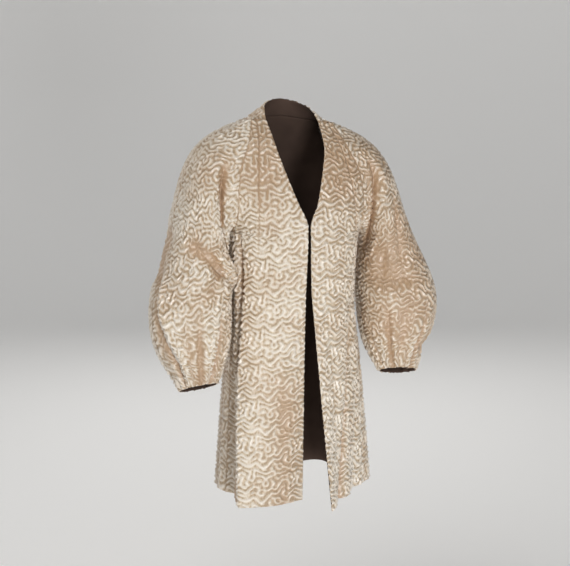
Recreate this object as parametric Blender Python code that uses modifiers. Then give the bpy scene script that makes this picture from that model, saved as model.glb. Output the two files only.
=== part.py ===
"""Evening coat in quilted satin: V neck, raglan balloon sleeves, open front, fluted hem.

Metres. +Z is up, the front faces -Y and +X is the wearer's left. The origin is where the
coat is held: the middle of the neck opening, level with the shoulder seams.
Each piece is an open surface worked out from the tables below and given its wall inwards.
"""
from collections import namedtuple

import bpy
import numpy as np

RIGHT = -1
LEFT = 1

# Driving sizes
HEM_HEIGHT = -0.920
UNDERARM_HEIGHT = -0.262
FRONT_SEAM_TOP = 0.004
BACK_SEAM_TOP = 0.000
CLOTH = 0.003
SEAM_INSET = 0.0004
NECK_INSET = 0.0009
SHOULDER_INSET = 0.0014
NOTCH_REACH = 0.060
SEAM_STRIP = 0.002
SECTION_SQUARENESS = 0.86
RING_SQUARENESS = 0.88
SHOULDER_RISE_RIGHT = 0.007
SHOULDER_DROP_LEFT = 0.014
SHOULDER_SHIFT_FOOT = -0.420
SHOULDER_SHIFT_SPAN = 0.300
NECK_HALF_WIDTH = 0.100
SHOULDER_HALF_WIDTH = 0.220

# Grid of each piece
SEAM_STEPS = 9
BELOW_STEPS = 10
FRONT_STEPS = 11
BACK_STEPS = 22
SLEEVE_STEPS = 14
NECK_STEPS = 2
BAND_STEPS = 4

# Level sections of the body
Section = namedtuple("Section", "height half_width front back")
SECTIONS = [
    Section(0.020, 0.112, -0.010, 0.083),
    Section(-0.050, 0.172, 0.074, 0.112),
    Section(-0.130, 0.196, 0.114, 0.128),
    Section(-0.200, 0.182, 0.138, 0.130),
    Section(UNDERARM_HEIGHT, 0.160, 0.143, 0.128),
    Section(-0.420, 0.152, 0.136, 0.130),
    Section(-0.620, 0.164, 0.140, 0.158),
    Section(HEM_HEIGHT, 0.184, 0.150, 0.195),
]

# Raglan seams: how far out from the middle they lie at each height
Raglan = namedtuple("Raglan", "height front back")
RAGLAN = [
    Raglan(0.006, 0.100, 0.086),
    Raglan(-0.050, 0.123, 0.112),
    Raglan(-0.110, 0.148, 0.138),
    Raglan(-0.175, 0.156, 0.152),
    Raglan(-0.235, 0.156, 0.154),
    Raglan(UNDERARM_HEIGHT, 0.160, 0.160),
]

# Front edges: how far each lies from the middle, down the V and the opening
FrontEdge = namedtuple("FrontEdge", "height right left")
FRONT_EDGES = [
    FrontEdge(0.010, 0.066, 0.066),
    FrontEdge(-0.050, 0.061, 0.060),
    FrontEdge(-0.110, 0.047, 0.045),
    FrontEdge(-0.180, 0.025, 0.024),
    FrontEdge(-0.240, 0.003, 0.003),
    FrontEdge(-0.300, 0.004, 0.004),
    FrontEdge(-0.600, 0.007, 0.016),
    FrontEdge(HEM_HEIGHT, 0.008, 0.026),
]

# Flutes of the body: angle from the middle front in degrees, how far out the hem moves there
BodyFold = namedtuple("BodyFold", "side angle spread depth start growth")
BODY_FOLDS = [
    BodyFold(RIGHT, 0, 16, -0.036, -0.30, 1.2),
    BodyFold(RIGHT, 52, 16, 0.026, -0.26, 1.0),
    BodyFold(RIGHT, 82, 9, -0.030, -0.28, 0.8),
    BodyFold(RIGHT, 108, 12, 0.004, -0.30, 1.0),
    BodyFold(RIGHT, 135, 12, -0.020, -0.35, 1.0),
    BodyFold(RIGHT, 158, 12, 0.014, -0.35, 1.0),
    BodyFold(LEFT, 2, 12, 0.070, -0.34, 1.3),
    BodyFold(LEFT, 56, 17, -0.040, -0.34, 1.2),
    BodyFold(LEFT, 94, 15, 0.030, -0.40, 0.5),
    BodyFold(LEFT, 118, 10, -0.018, -0.30, 1.0),
    BodyFold(LEFT, 140, 12, 0.018, -0.30, 1.0),
    BodyFold(LEFT, 165, 12, -0.016, -0.35, 1.0),
]
FOLD_EASE = 0.12

# Rings of a sleeve from the shoulder to the cuff; tilt turns the front of a ring upwards
Ring = namedtuple("Ring", "name inner_x inner_z outer_x outer_z middle_y front back tilt")
SLEEVE_RINGS = [
    Ring("shoulder", 0.174, -0.286, 0.222, -0.070, 0.034, 0.120, 0.094, 0),
    Ring("upper arm", 0.177, -0.318, 0.276, -0.196, 0.026, 0.124, 0.102, 4),
    Ring("elbow", 0.167, -0.380, 0.322, -0.325, 0.006, 0.110, 0.108, 8),
    Ring("balloon", 0.167, -0.452, 0.356, -0.440, -0.026, 0.106, 0.112, 14),
    Ring("below", 0.176, -0.540, 0.342, -0.545, -0.046, 0.088, 0.096, 20),
    Ring("gather", 0.196, -0.596, 0.314, -0.602, -0.062, 0.054, 0.062, 25),
    Ring("cuff", 0.206, -0.620, 0.302, -0.630, -0.070, 0.040, 0.046, 25),
]
SLEEVE_OUTSET = {RIGHT: 0.000, LEFT: 0.004}

# Folds of the sleeves: turn is the place round the sleeve (0 under the arm, 0.25 front,
# 0.5 over the arm, 0.75 back), slant moves it along the sleeve, reach is from neck to cuff
SleeveFold = namedtuple("SleeveFold", "side turn slant spread depth reach length")
SLEEVE_FOLDS = [
    SleeveFold(RIGHT, 0.20, 0.35, 0.045, -0.010, 0.50, 0.16),
    SleeveFold(RIGHT, 0.12, 0.00, 0.035, -0.007, 0.84, 0.12),
    SleeveFold(RIGHT, 0.30, 0.00, 0.035, -0.007, 0.84, 0.12),
    SleeveFold(RIGHT, 0.46, 0.00, 0.030, -0.006, 0.78, 0.14),
    SleeveFold(RIGHT, 0.70, 0.00, 0.040, -0.007, 0.82, 0.14),
    SleeveFold(LEFT, 0.16, 0.30, 0.045, -0.009, 0.42, 0.16),
    SleeveFold(LEFT, 0.22, 0.00, 0.030, -0.008, 0.86, 0.12),
    SleeveFold(LEFT, 0.40, 0.00, 0.035, -0.007, 0.82, 0.12),
    SleeveFold(LEFT, 0.60, 0.00, 0.035, -0.006, 0.80, 0.14),
    SleeveFold(LEFT, 0.80, 0.00, 0.040, -0.007, 0.82, 0.14),
]

# Neck edge of a sleeve and free edge of the neck band
NECK_EDGE_BOW = 0.006
NECK_EDGE_DIP = 0.004
BAND_SIDE = (0.058, 0.030, 0.030)
BAND_BACK = (0.000, 0.086, 0.042)

# Cloth
SATIN = (0.60, 0.47, 0.34)
SATIN_ROUGHNESS = 0.42


def smooth(places, heights, values):
    """Values at places, by a cubic through the table that never overshoots it."""
    order = np.argsort(heights)
    h = np.asarray(heights, float)[order]
    v = np.asarray(values, float)[order]
    x = np.clip(np.asarray(places, float), h[0], h[-1])
    step = np.diff(h)
    rise = np.diff(v) / step
    slope = np.empty_like(v)
    slope[0] = rise[0]
    slope[-1] = rise[-1]
    same = rise[:-1] * rise[1:] > 0
    before = np.where(same, rise[:-1], 1.0)
    after = np.where(same, rise[1:], 1.0)
    heavy = 2 * step[1:] + step[:-1]
    light = step[1:] + 2 * step[:-1]
    slope[1:-1] = np.where(same, (heavy + light) / (heavy / before + light / after), 0.0)
    k = np.clip(np.searchsorted(h, x, side="right") - 1, 0, len(h) - 2)
    t = (x - h[k]) / step[k]
    ends = v[k] * (1 + 2 * t) * (1 - t) ** 2 + v[k + 1] * t * t * (3 - 2 * t)
    bends = slope[k] * t * (1 - t) ** 2 - slope[k + 1] * t * t * (1 - t)
    return ends + step[k] * bends


def column(rows, name, places):
    """One named column of a table, read smoothly at the given heights."""
    return smooth(places, [row.height for row in rows], [getattr(row, name) for row in rows])


def natural_spline(knots, stops, places):
    """Natural cubic through stops (first axis) at knots, read at places."""
    count = len(knots)
    step = np.diff(knots)
    matrix = np.eye(count)
    right = np.zeros_like(stops)
    for i in range(1, count - 1):
        matrix[i, i - 1:i + 2] = step[i - 1], 2 * (step[i - 1] + step[i]), step[i]
        right[i] = 6 * ((stops[i + 1] - stops[i]) / step[i] - (stops[i] - stops[i - 1]) / step[i - 1])
    bend = np.linalg.solve(matrix, right.reshape(count, -1)).reshape(stops.shape)
    k = np.clip(np.searchsorted(knots, places, side="right") - 1, 0, count - 2)
    shape = (-1,) + (1,) * (stops.ndim - 1)
    b = ((places - knots[k]) / step[k]).reshape(shape)
    a = 1 - b
    span = (step[k] ** 2).reshape(shape) / 6
    return a * stops[k] + b * stops[k + 1] + ((a ** 3 - a) * bend[k] + (b ** 3 - b) * bend[k + 1]) * span


def length_shares(line):
    """Share of a polyline's length at each of its points."""
    along = np.concatenate([[0.0], np.cumsum(np.linalg.norm(np.diff(line, axis=0), axis=1))])
    return along / along[-1]


def stepped(count, strip):
    """Even shares from 0 to 1 with one narrow strip at each end, a row for each strip width."""
    strip = np.reshape(strip, (-1, 1))
    even = np.broadcast_to(np.linspace(0, 1, count + 1)[1:-1], (len(strip), count - 1))
    return np.concatenate([0 * strip, strip, even, 1 - strip, 0 * strip + 1], axis=1)


def strip_share(side, first, last, heights):
    """Share of each row, between two angles, that the narrow strip beside a seam takes up."""
    chord = body_point(side, first, heights) - body_point(side, last, heights)
    return SEAM_STRIP / np.linalg.norm(chord, axis=-1)


def fold_offset(side, angle, height):
    """How far the flutes move the body out at an angle and height."""
    total = np.zeros(np.shape(angle))
    for fold in BODY_FOLDS:
        if fold.side == side:
            fallen = np.clip((fold.start - height) / (fold.start - HEM_HEIGHT), 0, 1) ** fold.growth
            begun = np.clip((fold.start - height) / FOLD_EASE, 0, 1)
            eased = begun * begun * (3 - 2 * begun)
            total += fold.depth * fallen * eased * np.exp(-((angle - fold.angle) / fold.spread) ** 2)
    return total


def body_point(side, angle, height):
    """Outer point of the body; angle runs from the middle front (0) to the middle back (180)."""
    angle, height = np.broadcast_arrays(np.asarray(angle, float), np.asarray(height, float))
    turn = np.radians(angle)
    width = column(SECTIONS, "half_width", height)
    depth = np.where(angle < 90, column(SECTIONS, "front", height), column(SECTIONS, "back", height))
    x = width * np.abs(np.sin(turn)) ** SECTION_SQUARENESS
    y = -np.sign(np.cos(turn)) * depth * np.abs(np.cos(turn)) ** SECTION_SQUARENESS
    grow = 1 + fold_offset(side, angle, height) / np.maximum(np.hypot(x, y), 1e-6)
    return np.stack([side * x * grow, y * grow, height], axis=-1)


def section_angle(sideways, height, back=False):
    """Angle at which a section passes a given distance from the middle."""
    share = np.clip(sideways / column(SECTIONS, "half_width", height), 0, 1)
    angle = np.degrees(np.arcsin(share ** (1 / SECTION_SQUARENESS)))
    return 180 - angle if back else angle


def edge_angle(side, height):
    """Angle of a front edge."""
    name = "right" if side == RIGHT else "left"
    return section_angle(column(FRONT_EDGES, name, height), height)


def outer_angle(height, back=False):
    """Angle of the raglan seam above the underarm and of the side seam below it."""
    place = column(RAGLAN, "back" if back else "front", height)
    return np.where(height > UNDERARM_HEIGHT, section_angle(place, height, back), 90.0)


def seam_heights(back=False):
    """Heights of evenly spaced stitches on a raglan seam, from the underarm up."""
    top = BACK_SEAM_TOP if back else FRONT_SEAM_TOP
    heights = np.linspace(UNDERARM_HEIGHT, top, 400)
    line = body_point(LEFT, outer_angle(heights, back), heights)
    steps = np.linalg.norm(np.diff(line, axis=0), axis=1)
    along = np.concatenate([[0.0], np.cumsum(steps)])
    places = np.linspace(0, along[-1], SEAM_STEPS + 1)
    return np.interp(np.insert(places, 1, SEAM_STRIP), along, heights)


def body_heights(back=False):
    """Heights of a body panel's rows, from the neck to the hem."""
    above = seam_heights(back)[::-1]
    below = np.linspace(UNDERARM_HEIGHT, HEM_HEIGHT, BELOW_STEPS + 1)[1:]
    return np.concatenate([above, below])


def settle(points):
    """The coat's right shoulder sits a little higher and its left one lower; fades down the body."""
    fade = np.clip((points[..., 2] - SHOULDER_SHIFT_FOOT) / SHOULDER_SHIFT_SPAN, 0, 1)
    fade = fade * fade * (3 - 2 * fade)
    x = points[..., 0]
    lift = np.clip((-x - NECK_HALF_WIDTH) / (SHOULDER_HALF_WIDTH - NECK_HALF_WIDTH), 0, 1)
    drop = np.clip(x / NECK_HALF_WIDTH, 0, 1)
    moved = np.array(points)
    moved[..., 2] += fade * (SHOULDER_RISE_RIGHT * lift - SHOULDER_DROP_LEFT * drop)
    return moved


def front_panel(side):
    """Rows from the neck to the hem, columns from the front edge to the raglan or side seam."""
    heights = body_heights()
    first = edge_angle(side, heights)
    last = outer_angle(heights)
    shares = stepped(FRONT_STEPS, strip_share(side, first, last, heights))
    return body_point(side, first[:, None] + (last - first)[:, None] * shares, heights[:, None])


def back_panel():
    """Rows from the neck to the hem, columns from the right side round to the left."""
    heights = body_heights(back=True)
    outer = outer_angle(heights, back=True)
    halves = []
    for side in (RIGHT, LEFT):
        shares = stepped(BACK_STEPS // 2, strip_share(side, outer, 180.0, heights))
        halves.append(body_point(side, outer[:, None] + (180 - outer)[:, None] * shares, heights[:, None]))
    right, left = halves
    middle = (right[:, -1:] + left[:, -1:]) / 2
    return np.concatenate([right[:, :-2], middle, left[:, -3::-1]], axis=1)


def neck_edge(side, back):
    """Short neck edge of a sleeve half, from the front seam's top to the back seam's top."""
    front_top = body_point(side, outer_angle(FRONT_SEAM_TOP), FRONT_SEAM_TOP)
    back_top = body_point(side, outer_angle(BACK_SEAM_TOP, True), BACK_SEAM_TOP)
    middle = (front_top + back_top) / 2 + np.array([side * NECK_EDGE_BOW, 0, -NECK_EDGE_DIP])
    start, end = (middle, back_top) if back else (front_top, middle)
    control = (start + end) / 2 + np.array([side * NECK_EDGE_BOW / 2, 0, 0])
    shares = np.linspace(0, 1, NECK_STEPS + 1)
    strip = SEAM_STRIP / np.linalg.norm(end - start)
    shares = np.insert(shares, 1, strip) if back else np.insert(shares, NECK_STEPS, 1 - strip)
    t = shares[:, None]
    return (1 - t) ** 2 * start + 2 * t * (1 - t) * control + t * t * end


def armhole(side, back):
    """Top edge of a sleeve half: front from underarm to shoulder, back from shoulder to underarm."""
    heights = seam_heights(back)
    seam = body_point(side, outer_angle(heights, back), heights)
    neck = neck_edge(side, back)
    if back:
        return np.concatenate([neck, seam[::-1][1:]])
    return np.concatenate([seam, neck[1:]])


def ring_points(ring, side, turns):
    """Points round one ring of a sleeve."""
    inner = np.array([ring.inner_x, ring.middle_y, ring.inner_z])
    outer = np.array([ring.outer_x, ring.middle_y, ring.outer_z])
    across = (outer - inner) / 2
    unit = across / np.linalg.norm(across)
    tilt = np.radians(ring.tilt)
    forward = np.array([0.0, -np.cos(tilt), np.sin(tilt)])
    forward -= unit * (forward @ unit)
    forward /= np.linalg.norm(forward)
    sine = np.sin(2 * np.pi * turns)
    cosine = np.cos(2 * np.pi * turns)
    depth = np.where(sine > 0, ring.front, ring.back)
    reach = -np.sign(cosine) * np.abs(cosine) ** RING_SQUARENESS
    bulge = np.sign(sine) * np.abs(sine) ** RING_SQUARENESS * depth
    points = (inner + outer) / 2 + np.outer(reach, across) + np.outer(bulge, forward)
    points[:, 0] += SLEEVE_OUTSET[side]
    return points * [side, 1, 1]


def sleeve_turns(edge, back):
    """Place round the sleeve of each point of its top edge."""
    return length_shares(edge) / 2 + (0.5 if back else 0.0)


def sleeve_fold_offset(side, turn, reach):
    """How far the folds move a sleeve out from its middle."""
    total = np.zeros(np.broadcast(turn, reach).shape)
    for fold in SLEEVE_FOLDS:
        if fold.side == side:
            along = (reach - fold.reach) / fold.length
            across = (turn - fold.turn - fold.slant * (reach - fold.reach)) / fold.spread
            total += fold.depth * np.exp(-along ** 2 - across ** 2)
    return total


def sleeve_half(side, back):
    """Rows from the armhole to the cuff, columns from one long seam of the half to the other."""
    edges = {half: armhole(side, half) for half in (False, True)}
    turns = {half: sleeve_turns(edges[half], half) for half in (False, True)}
    stops = {}
    for half in (False, True):
        rings = [ring_points(ring, side, turns[half]) for ring in SLEEVE_RINGS]
        stops[half] = np.array([edges[half]] + rings)
    every = np.concatenate([stops[False], stops[True]], axis=1)
    lengths = np.linalg.norm(np.diff(every, axis=0), axis=2).mean(axis=1)
    knots = np.concatenate([[0.0], np.cumsum(lengths)]) / lengths.sum()
    reaches = np.insert(np.linspace(0, 1, SLEEVE_STEPS + 1), 1, SEAM_STRIP / lengths.sum())
    points = natural_spline(knots, stops[back], reaches)
    middles = natural_spline(knots, every.mean(axis=1), reaches)
    away = points - middles[:, None, :]
    away /= np.linalg.norm(away, axis=2, keepdims=True)
    return points + away * sleeve_fold_offset(side, turns[back][None, :], reaches[:, None])[..., None]


def neck_band():
    """Rows from the sewn edge up to the free edge, columns from the right front round to the left."""
    sewn_half = {}
    for side in (RIGHT, LEFT):
        front = neck_edge(side, False)
        rear = neck_edge(side, True)
        sewn_half[side] = np.concatenate([front, rear[1:]])
    neckline = back_panel()[0]
    sewn = np.concatenate([sewn_half[RIGHT], neckline[1:-1], sewn_half[LEFT][::-1]])
    ends = {}
    for side in (RIGHT, LEFT):
        ends[side] = body_point(side, edge_angle(side, FRONT_SEAM_TOP), FRONT_SEAM_TOP)
    sides = {side: np.array(BAND_SIDE) * [side, 1, 1] for side in (RIGHT, LEFT)}
    stops = np.array([ends[RIGHT], sides[RIGHT], BAND_BACK, sides[LEFT], ends[LEFT]])
    free = natural_spline(length_shares(stops), stops, length_shares(sewn))
    rise = np.linspace(0, 1, BAND_STEPS + 1)[:, None, None]
    return sewn + (free - sewn) * rise


def pull_in(grid, first_row=0.0, first_column=0.0, last_column=0.0):
    """Moves each sewn edge of a grid in, so that the walls of two pieces stay apart at the seam."""
    moved = np.array(grid)
    for inset, edge, inside in (
        (first_row, np.s_[0, :], np.s_[1, :]),
        (first_column, np.s_[:, 0], np.s_[:, 1]),
        (last_column, np.s_[:, -1], np.s_[:, -2]),
    ):
        inwards = grid[inside] - grid[edge]
        moved[edge] += inwards / np.linalg.norm(inwards, axis=-1, keepdims=True) * np.reshape(inset, (-1, 1))
    return moved


def satin(name):
    """Cloth material of one piece."""
    material = bpy.data.materials.new(name)
    material.use_nodes = True
    shader = material.node_tree.nodes["Principled BSDF"]
    shader.inputs["Base Color"].default_value = (*SATIN, 1.0)
    shader.inputs["Roughness"].default_value = SATIN_ROUGHNESS
    shader.inputs["Metallic"].default_value = 0.0
    return material


def cloth_object(name, grid, collection):
    """One cut piece: its outer surface as a grid of faces, with the wall added on the inside."""
    rows, columns = grid.shape[:2]
    corner = np.arange(rows * columns).reshape(rows, columns)
    faces = np.stack([corner[:-1, :-1], corner[:-1, 1:], corner[1:, 1:], corner[1:, :-1]], axis=-1)
    mesh = bpy.data.meshes.new(name)
    mesh.from_pydata(settle(grid).reshape(-1, 3).tolist(), [], faces.reshape(-1, 4).tolist())
    mesh.materials.append(satin(name + "_satin"))
    mesh.validate()
    piece = bpy.data.objects.new(name, mesh)
    collection.objects.link(piece)
    wall = piece.modifiers.new("Wall", "SOLIDIFY")
    wall.thickness = CLOTH
    wall.offset = -1.0
    wall.use_even_offset = False
    return piece


def clear_scene():
    """Takes out every object that the file opened with."""
    for old in list(bpy.data.objects):
        bpy.data.objects.remove(old, do_unlink=True)


def main():
    """Builds the coat's eight pieces in one collection."""
    clear_scene()
    coat = bpy.data.collections.new("evening_coat")
    bpy.context.scene.collection.children.link(coat)
    sides = {"first_column": SEAM_INSET, "last_column": SEAM_INSET}
    near_neck = np.clip(body_heights() / NOTCH_REACH + 1, 0, 1)
    front_seam = SEAM_INSET + SHOULDER_INSET * near_neck
    for side, word in ((RIGHT, "right"), (LEFT, "left")):
        front = pull_in(front_panel(side), first_row=SHOULDER_INSET, last_column=front_seam)
        cloth_object(f"front_{word}", front[::-side], coat)
        for back, half in ((False, "front"), (True, "back")):
            sleeve = pull_in(sleeve_half(side, back), first_row=SEAM_INSET, **sides)
            cloth_object(f"sleeve_{half}_{word}", sleeve[::-side], coat)
    cloth_object("back", pull_in(back_panel(), first_row=NECK_INSET, **sides), coat)
    band = pull_in(neck_band(), NECK_INSET, SHOULDER_INSET, SHOULDER_INSET)
    cloth_object("neck_band", band[::-1], coat)


main()
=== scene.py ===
"""Evening coat in quilted satin: the visible cloth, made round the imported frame.

Metres. +Z is up, the front faces -Y and +X is the wearer's left. The origin is the middle of
the neck opening, level with the shoulder seams. Each piece is a closed sheet: quilted satin
outside, plain lining inside.
"""
from collections import namedtuple

import bpy
import numpy as np
from bpy.props import FloatProperty, FloatVectorProperty, PointerProperty
from bpy.types import Operator, Panel, PropertyGroup
from mathutils import Matrix, Vector


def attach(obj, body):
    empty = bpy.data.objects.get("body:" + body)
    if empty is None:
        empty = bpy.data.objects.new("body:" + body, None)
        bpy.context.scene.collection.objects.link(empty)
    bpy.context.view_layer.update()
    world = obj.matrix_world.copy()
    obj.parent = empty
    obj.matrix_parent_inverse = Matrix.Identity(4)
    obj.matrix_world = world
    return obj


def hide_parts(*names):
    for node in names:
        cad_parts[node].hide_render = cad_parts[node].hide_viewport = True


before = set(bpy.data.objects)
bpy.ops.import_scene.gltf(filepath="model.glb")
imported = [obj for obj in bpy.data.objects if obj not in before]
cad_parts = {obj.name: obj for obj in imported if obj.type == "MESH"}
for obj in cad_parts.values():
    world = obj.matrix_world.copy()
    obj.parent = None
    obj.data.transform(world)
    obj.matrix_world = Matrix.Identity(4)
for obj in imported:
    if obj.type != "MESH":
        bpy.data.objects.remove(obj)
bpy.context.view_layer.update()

bl_info = {
    "name": "Quilted evening coat",
    "version": (1, 0, 0),
    "blender": (4, 5, 0),
    "location": "View3D > Sidebar > Coat",
    "description": "Makes the quilted satin pieces of an evening coat and a studio round it",
    "category": "Object",
}

RIGHT = -1
LEFT = 1
SIDES = ((RIGHT, "right"), (LEFT, "left"))


def by_side(kind, right, left):
    """Rows of a table: those of the wearer's right side, then those of the left."""
    return [kind(RIGHT, *row) for row in right] + [kind(LEFT, *row) for row in left]


# Heights and sizes of the cut
HEM_HEIGHT = -0.920
UNDERARM_HEIGHT = -0.262
FRONT_SEAM_TOP = 0.004
BACK_SEAM_TOP = 0.000
SECTION_SQUARENESS = 0.86
RING_SQUARENESS = 0.88
SHOULDER_RISE_RIGHT = 0.007
SHOULDER_DROP_LEFT = 0.014
SHOULDER_SHIFT_FOOT = -0.420
SHOULDER_SHIFT_SPAN = 0.300
NECK_HALF_WIDTH = 0.100
SHOULDER_HALF_WIDTH = 0.220
FOLD_EASE = 0.12
NECK_EDGE_BOW = 0.006
NECK_EDGE_DIP = 0.004
BAND_SIDE = (0.058, 0.030, 0.030)
BAND_BACK = (0.000, 0.086, 0.042)
BAND_HEIGHT = 0.045

# Level sections of the body
Section = namedtuple("Section", "height half_width front back")
SECTIONS = [
    Section(0.020, 0.112, -0.010, 0.083),
    Section(-0.050, 0.172, 0.074, 0.112),
    Section(-0.130, 0.196, 0.114, 0.128),
    Section(-0.200, 0.182, 0.138, 0.130),
    Section(UNDERARM_HEIGHT, 0.160, 0.143, 0.128),
    Section(-0.420, 0.152, 0.136, 0.130),
    Section(-0.620, 0.164, 0.140, 0.158),
    Section(HEM_HEIGHT, 0.184, 0.150, 0.195),
]

# Raglan seams: how far out from the middle they lie at each height
Raglan = namedtuple("Raglan", "height front back")
RAGLAN = [
    Raglan(0.006, 0.100, 0.086),
    Raglan(-0.050, 0.123, 0.112),
    Raglan(-0.110, 0.148, 0.138),
    Raglan(-0.175, 0.156, 0.152),
    Raglan(-0.235, 0.156, 0.154),
    Raglan(UNDERARM_HEIGHT, 0.160, 0.160),
]

# Front edges: how far each lies from the middle, down the V and the opening
FrontEdge = namedtuple("FrontEdge", "height right left")
FRONT_EDGES = [
    FrontEdge(0.010, 0.066, 0.066),
    FrontEdge(-0.050, 0.061, 0.060),
    FrontEdge(-0.110, 0.047, 0.045),
    FrontEdge(-0.180, 0.025, 0.024),
    FrontEdge(-0.240, 0.003, 0.003),
    FrontEdge(-0.300, 0.004, 0.004),
    FrontEdge(-0.600, 0.007, 0.016),
    FrontEdge(HEM_HEIGHT, 0.008, 0.026),
]

# Flutes of the body: angle from the middle front in degrees, how far out the hem moves there
BodyFold = namedtuple("BodyFold", "side angle spread depth start growth")
BODY_FOLDS = by_side(BodyFold, [
    (0, 16, -0.036, -0.30, 1.2),
    (52, 16, 0.026, -0.26, 1.0),
    (82, 9, -0.030, -0.28, 0.8),
    (108, 12, 0.004, -0.30, 1.0),
    (135, 12, -0.020, -0.35, 1.0),
    (158, 12, 0.014, -0.35, 1.0),
], [
    (2, 12, 0.070, -0.34, 1.3),
    (56, 17, -0.040, -0.34, 1.2),
    (94, 15, 0.030, -0.40, 0.5),
    (118, 10, -0.018, -0.30, 1.0),
    (140, 12, 0.018, -0.30, 1.0),
    (165, 12, -0.016, -0.35, 1.0),
])

# Rings of a sleeve from the shoulder to the cuff; tilt turns the front of a ring upwards
Ring = namedtuple("Ring", "name inner_x inner_z outer_x outer_z middle_y front back tilt")
SLEEVE_RINGS = [
    Ring("shoulder", 0.174, -0.286, 0.222, -0.070, 0.034, 0.120, 0.094, 0),
    Ring("upper arm", 0.177, -0.318, 0.276, -0.196, 0.026, 0.124, 0.102, 4),
    Ring("elbow", 0.167, -0.380, 0.322, -0.325, 0.006, 0.110, 0.108, 8),
    Ring("balloon", 0.167, -0.452, 0.356, -0.440, -0.026, 0.106, 0.112, 14),
    Ring("below", 0.176, -0.540, 0.342, -0.545, -0.046, 0.088, 0.096, 20),
    Ring("gather", 0.196, -0.596, 0.314, -0.602, -0.062, 0.054, 0.062, 25),
    Ring("cuff", 0.206, -0.620, 0.302, -0.630, -0.070, 0.040, 0.046, 25),
]
SLEEVE_OUTSET = {RIGHT: 0.000, LEFT: 0.004}

# Folds of the sleeves: turn is the place round the sleeve (0 under the arm, 0.25 front,
# 0.5 over the arm, 0.75 back), slant moves it along the sleeve, reach is from neck to cuff
SleeveFold = namedtuple("SleeveFold", "side turn slant spread depth reach length")
SLEEVE_FOLDS = by_side(SleeveFold, [
    (0.20, 0.35, 0.045, -0.010, 0.50, 0.16),
    (0.12, 0.00, 0.035, -0.007, 0.84, 0.12),
    (0.30, 0.00, 0.035, -0.007, 0.84, 0.12),
    (0.46, 0.00, 0.030, -0.006, 0.78, 0.14),
    (0.70, 0.00, 0.040, -0.007, 0.82, 0.14),
], [
    (0.16, 0.30, 0.045, -0.009, 0.42, 0.16),
    (0.22, 0.00, 0.030, -0.008, 0.86, 0.12),
    (0.40, 0.00, 0.035, -0.007, 0.82, 0.12),
    (0.60, 0.00, 0.035, -0.006, 0.80, 0.14),
    (0.80, 0.00, 0.040, -0.007, 0.82, 0.14),
])

# How far from the armhole the folds of a sleeve come in, and the length round half a sleeve
ARMHOLE_EASE = 0.030
SLEEVE_HALF_GIRTH = 0.30

# Tucks that take in the sleeve's fullness at the cuff: where round the sleeve, where they start
Tuck = namedtuple("Tuck", "side turn start depth width")
TUCKS = by_side(Tuck, [
    (0.060, 0.80, 0.0060, 0.0055),
    (0.110, 0.84, 0.0045, 0.0045),
    (0.160, 0.62, 0.0135, 0.0075),
    (0.205, 0.86, 0.0045, 0.0045),
    (0.254, 0.64, 0.0125, 0.0075),
    (0.310, 0.82, 0.0055, 0.0050),
    (0.352, 0.87, 0.0045, 0.0045),
    (0.400, 0.78, 0.0075, 0.0060),
    (0.455, 0.85, 0.0045, 0.0050),
    (0.560, 0.76, 0.0070, 0.0060),
    (0.640, 0.85, 0.0045, 0.0045),
    (0.715, 0.74, 0.0080, 0.0060),
    (0.800, 0.84, 0.0050, 0.0050),
    (0.880, 0.77, 0.0070, 0.0055),
    (0.945, 0.86, 0.0045, 0.0045),
], [
    (0.045, 0.76, 0.0080, 0.0060),
    (0.100, 0.85, 0.0050, 0.0045),
    (0.152, 0.66, 0.0120, 0.0075),
    (0.205, 0.86, 0.0045, 0.0045),
    (0.255, 0.80, 0.0065, 0.0055),
    (0.315, 0.70, 0.0150, 0.0065),
    (0.370, 0.85, 0.0045, 0.0050),
    (0.430, 0.79, 0.0065, 0.0055),
    (0.475, 0.86, 0.0045, 0.0045),
    (0.555, 0.80, 0.0060, 0.0055),
    (0.635, 0.75, 0.0080, 0.0060),
    (0.720, 0.85, 0.0045, 0.0045),
    (0.790, 0.76, 0.0070, 0.0060),
    (0.870, 0.82, 0.0055, 0.0050),
    (0.940, 0.86, 0.0045, 0.0045),
])

# Share of the sleeve in which a tuck grows, and the width in which it takes in the pattern
TUCK_GROWTH = 0.20
TUCK_STEP = 0.006

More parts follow.
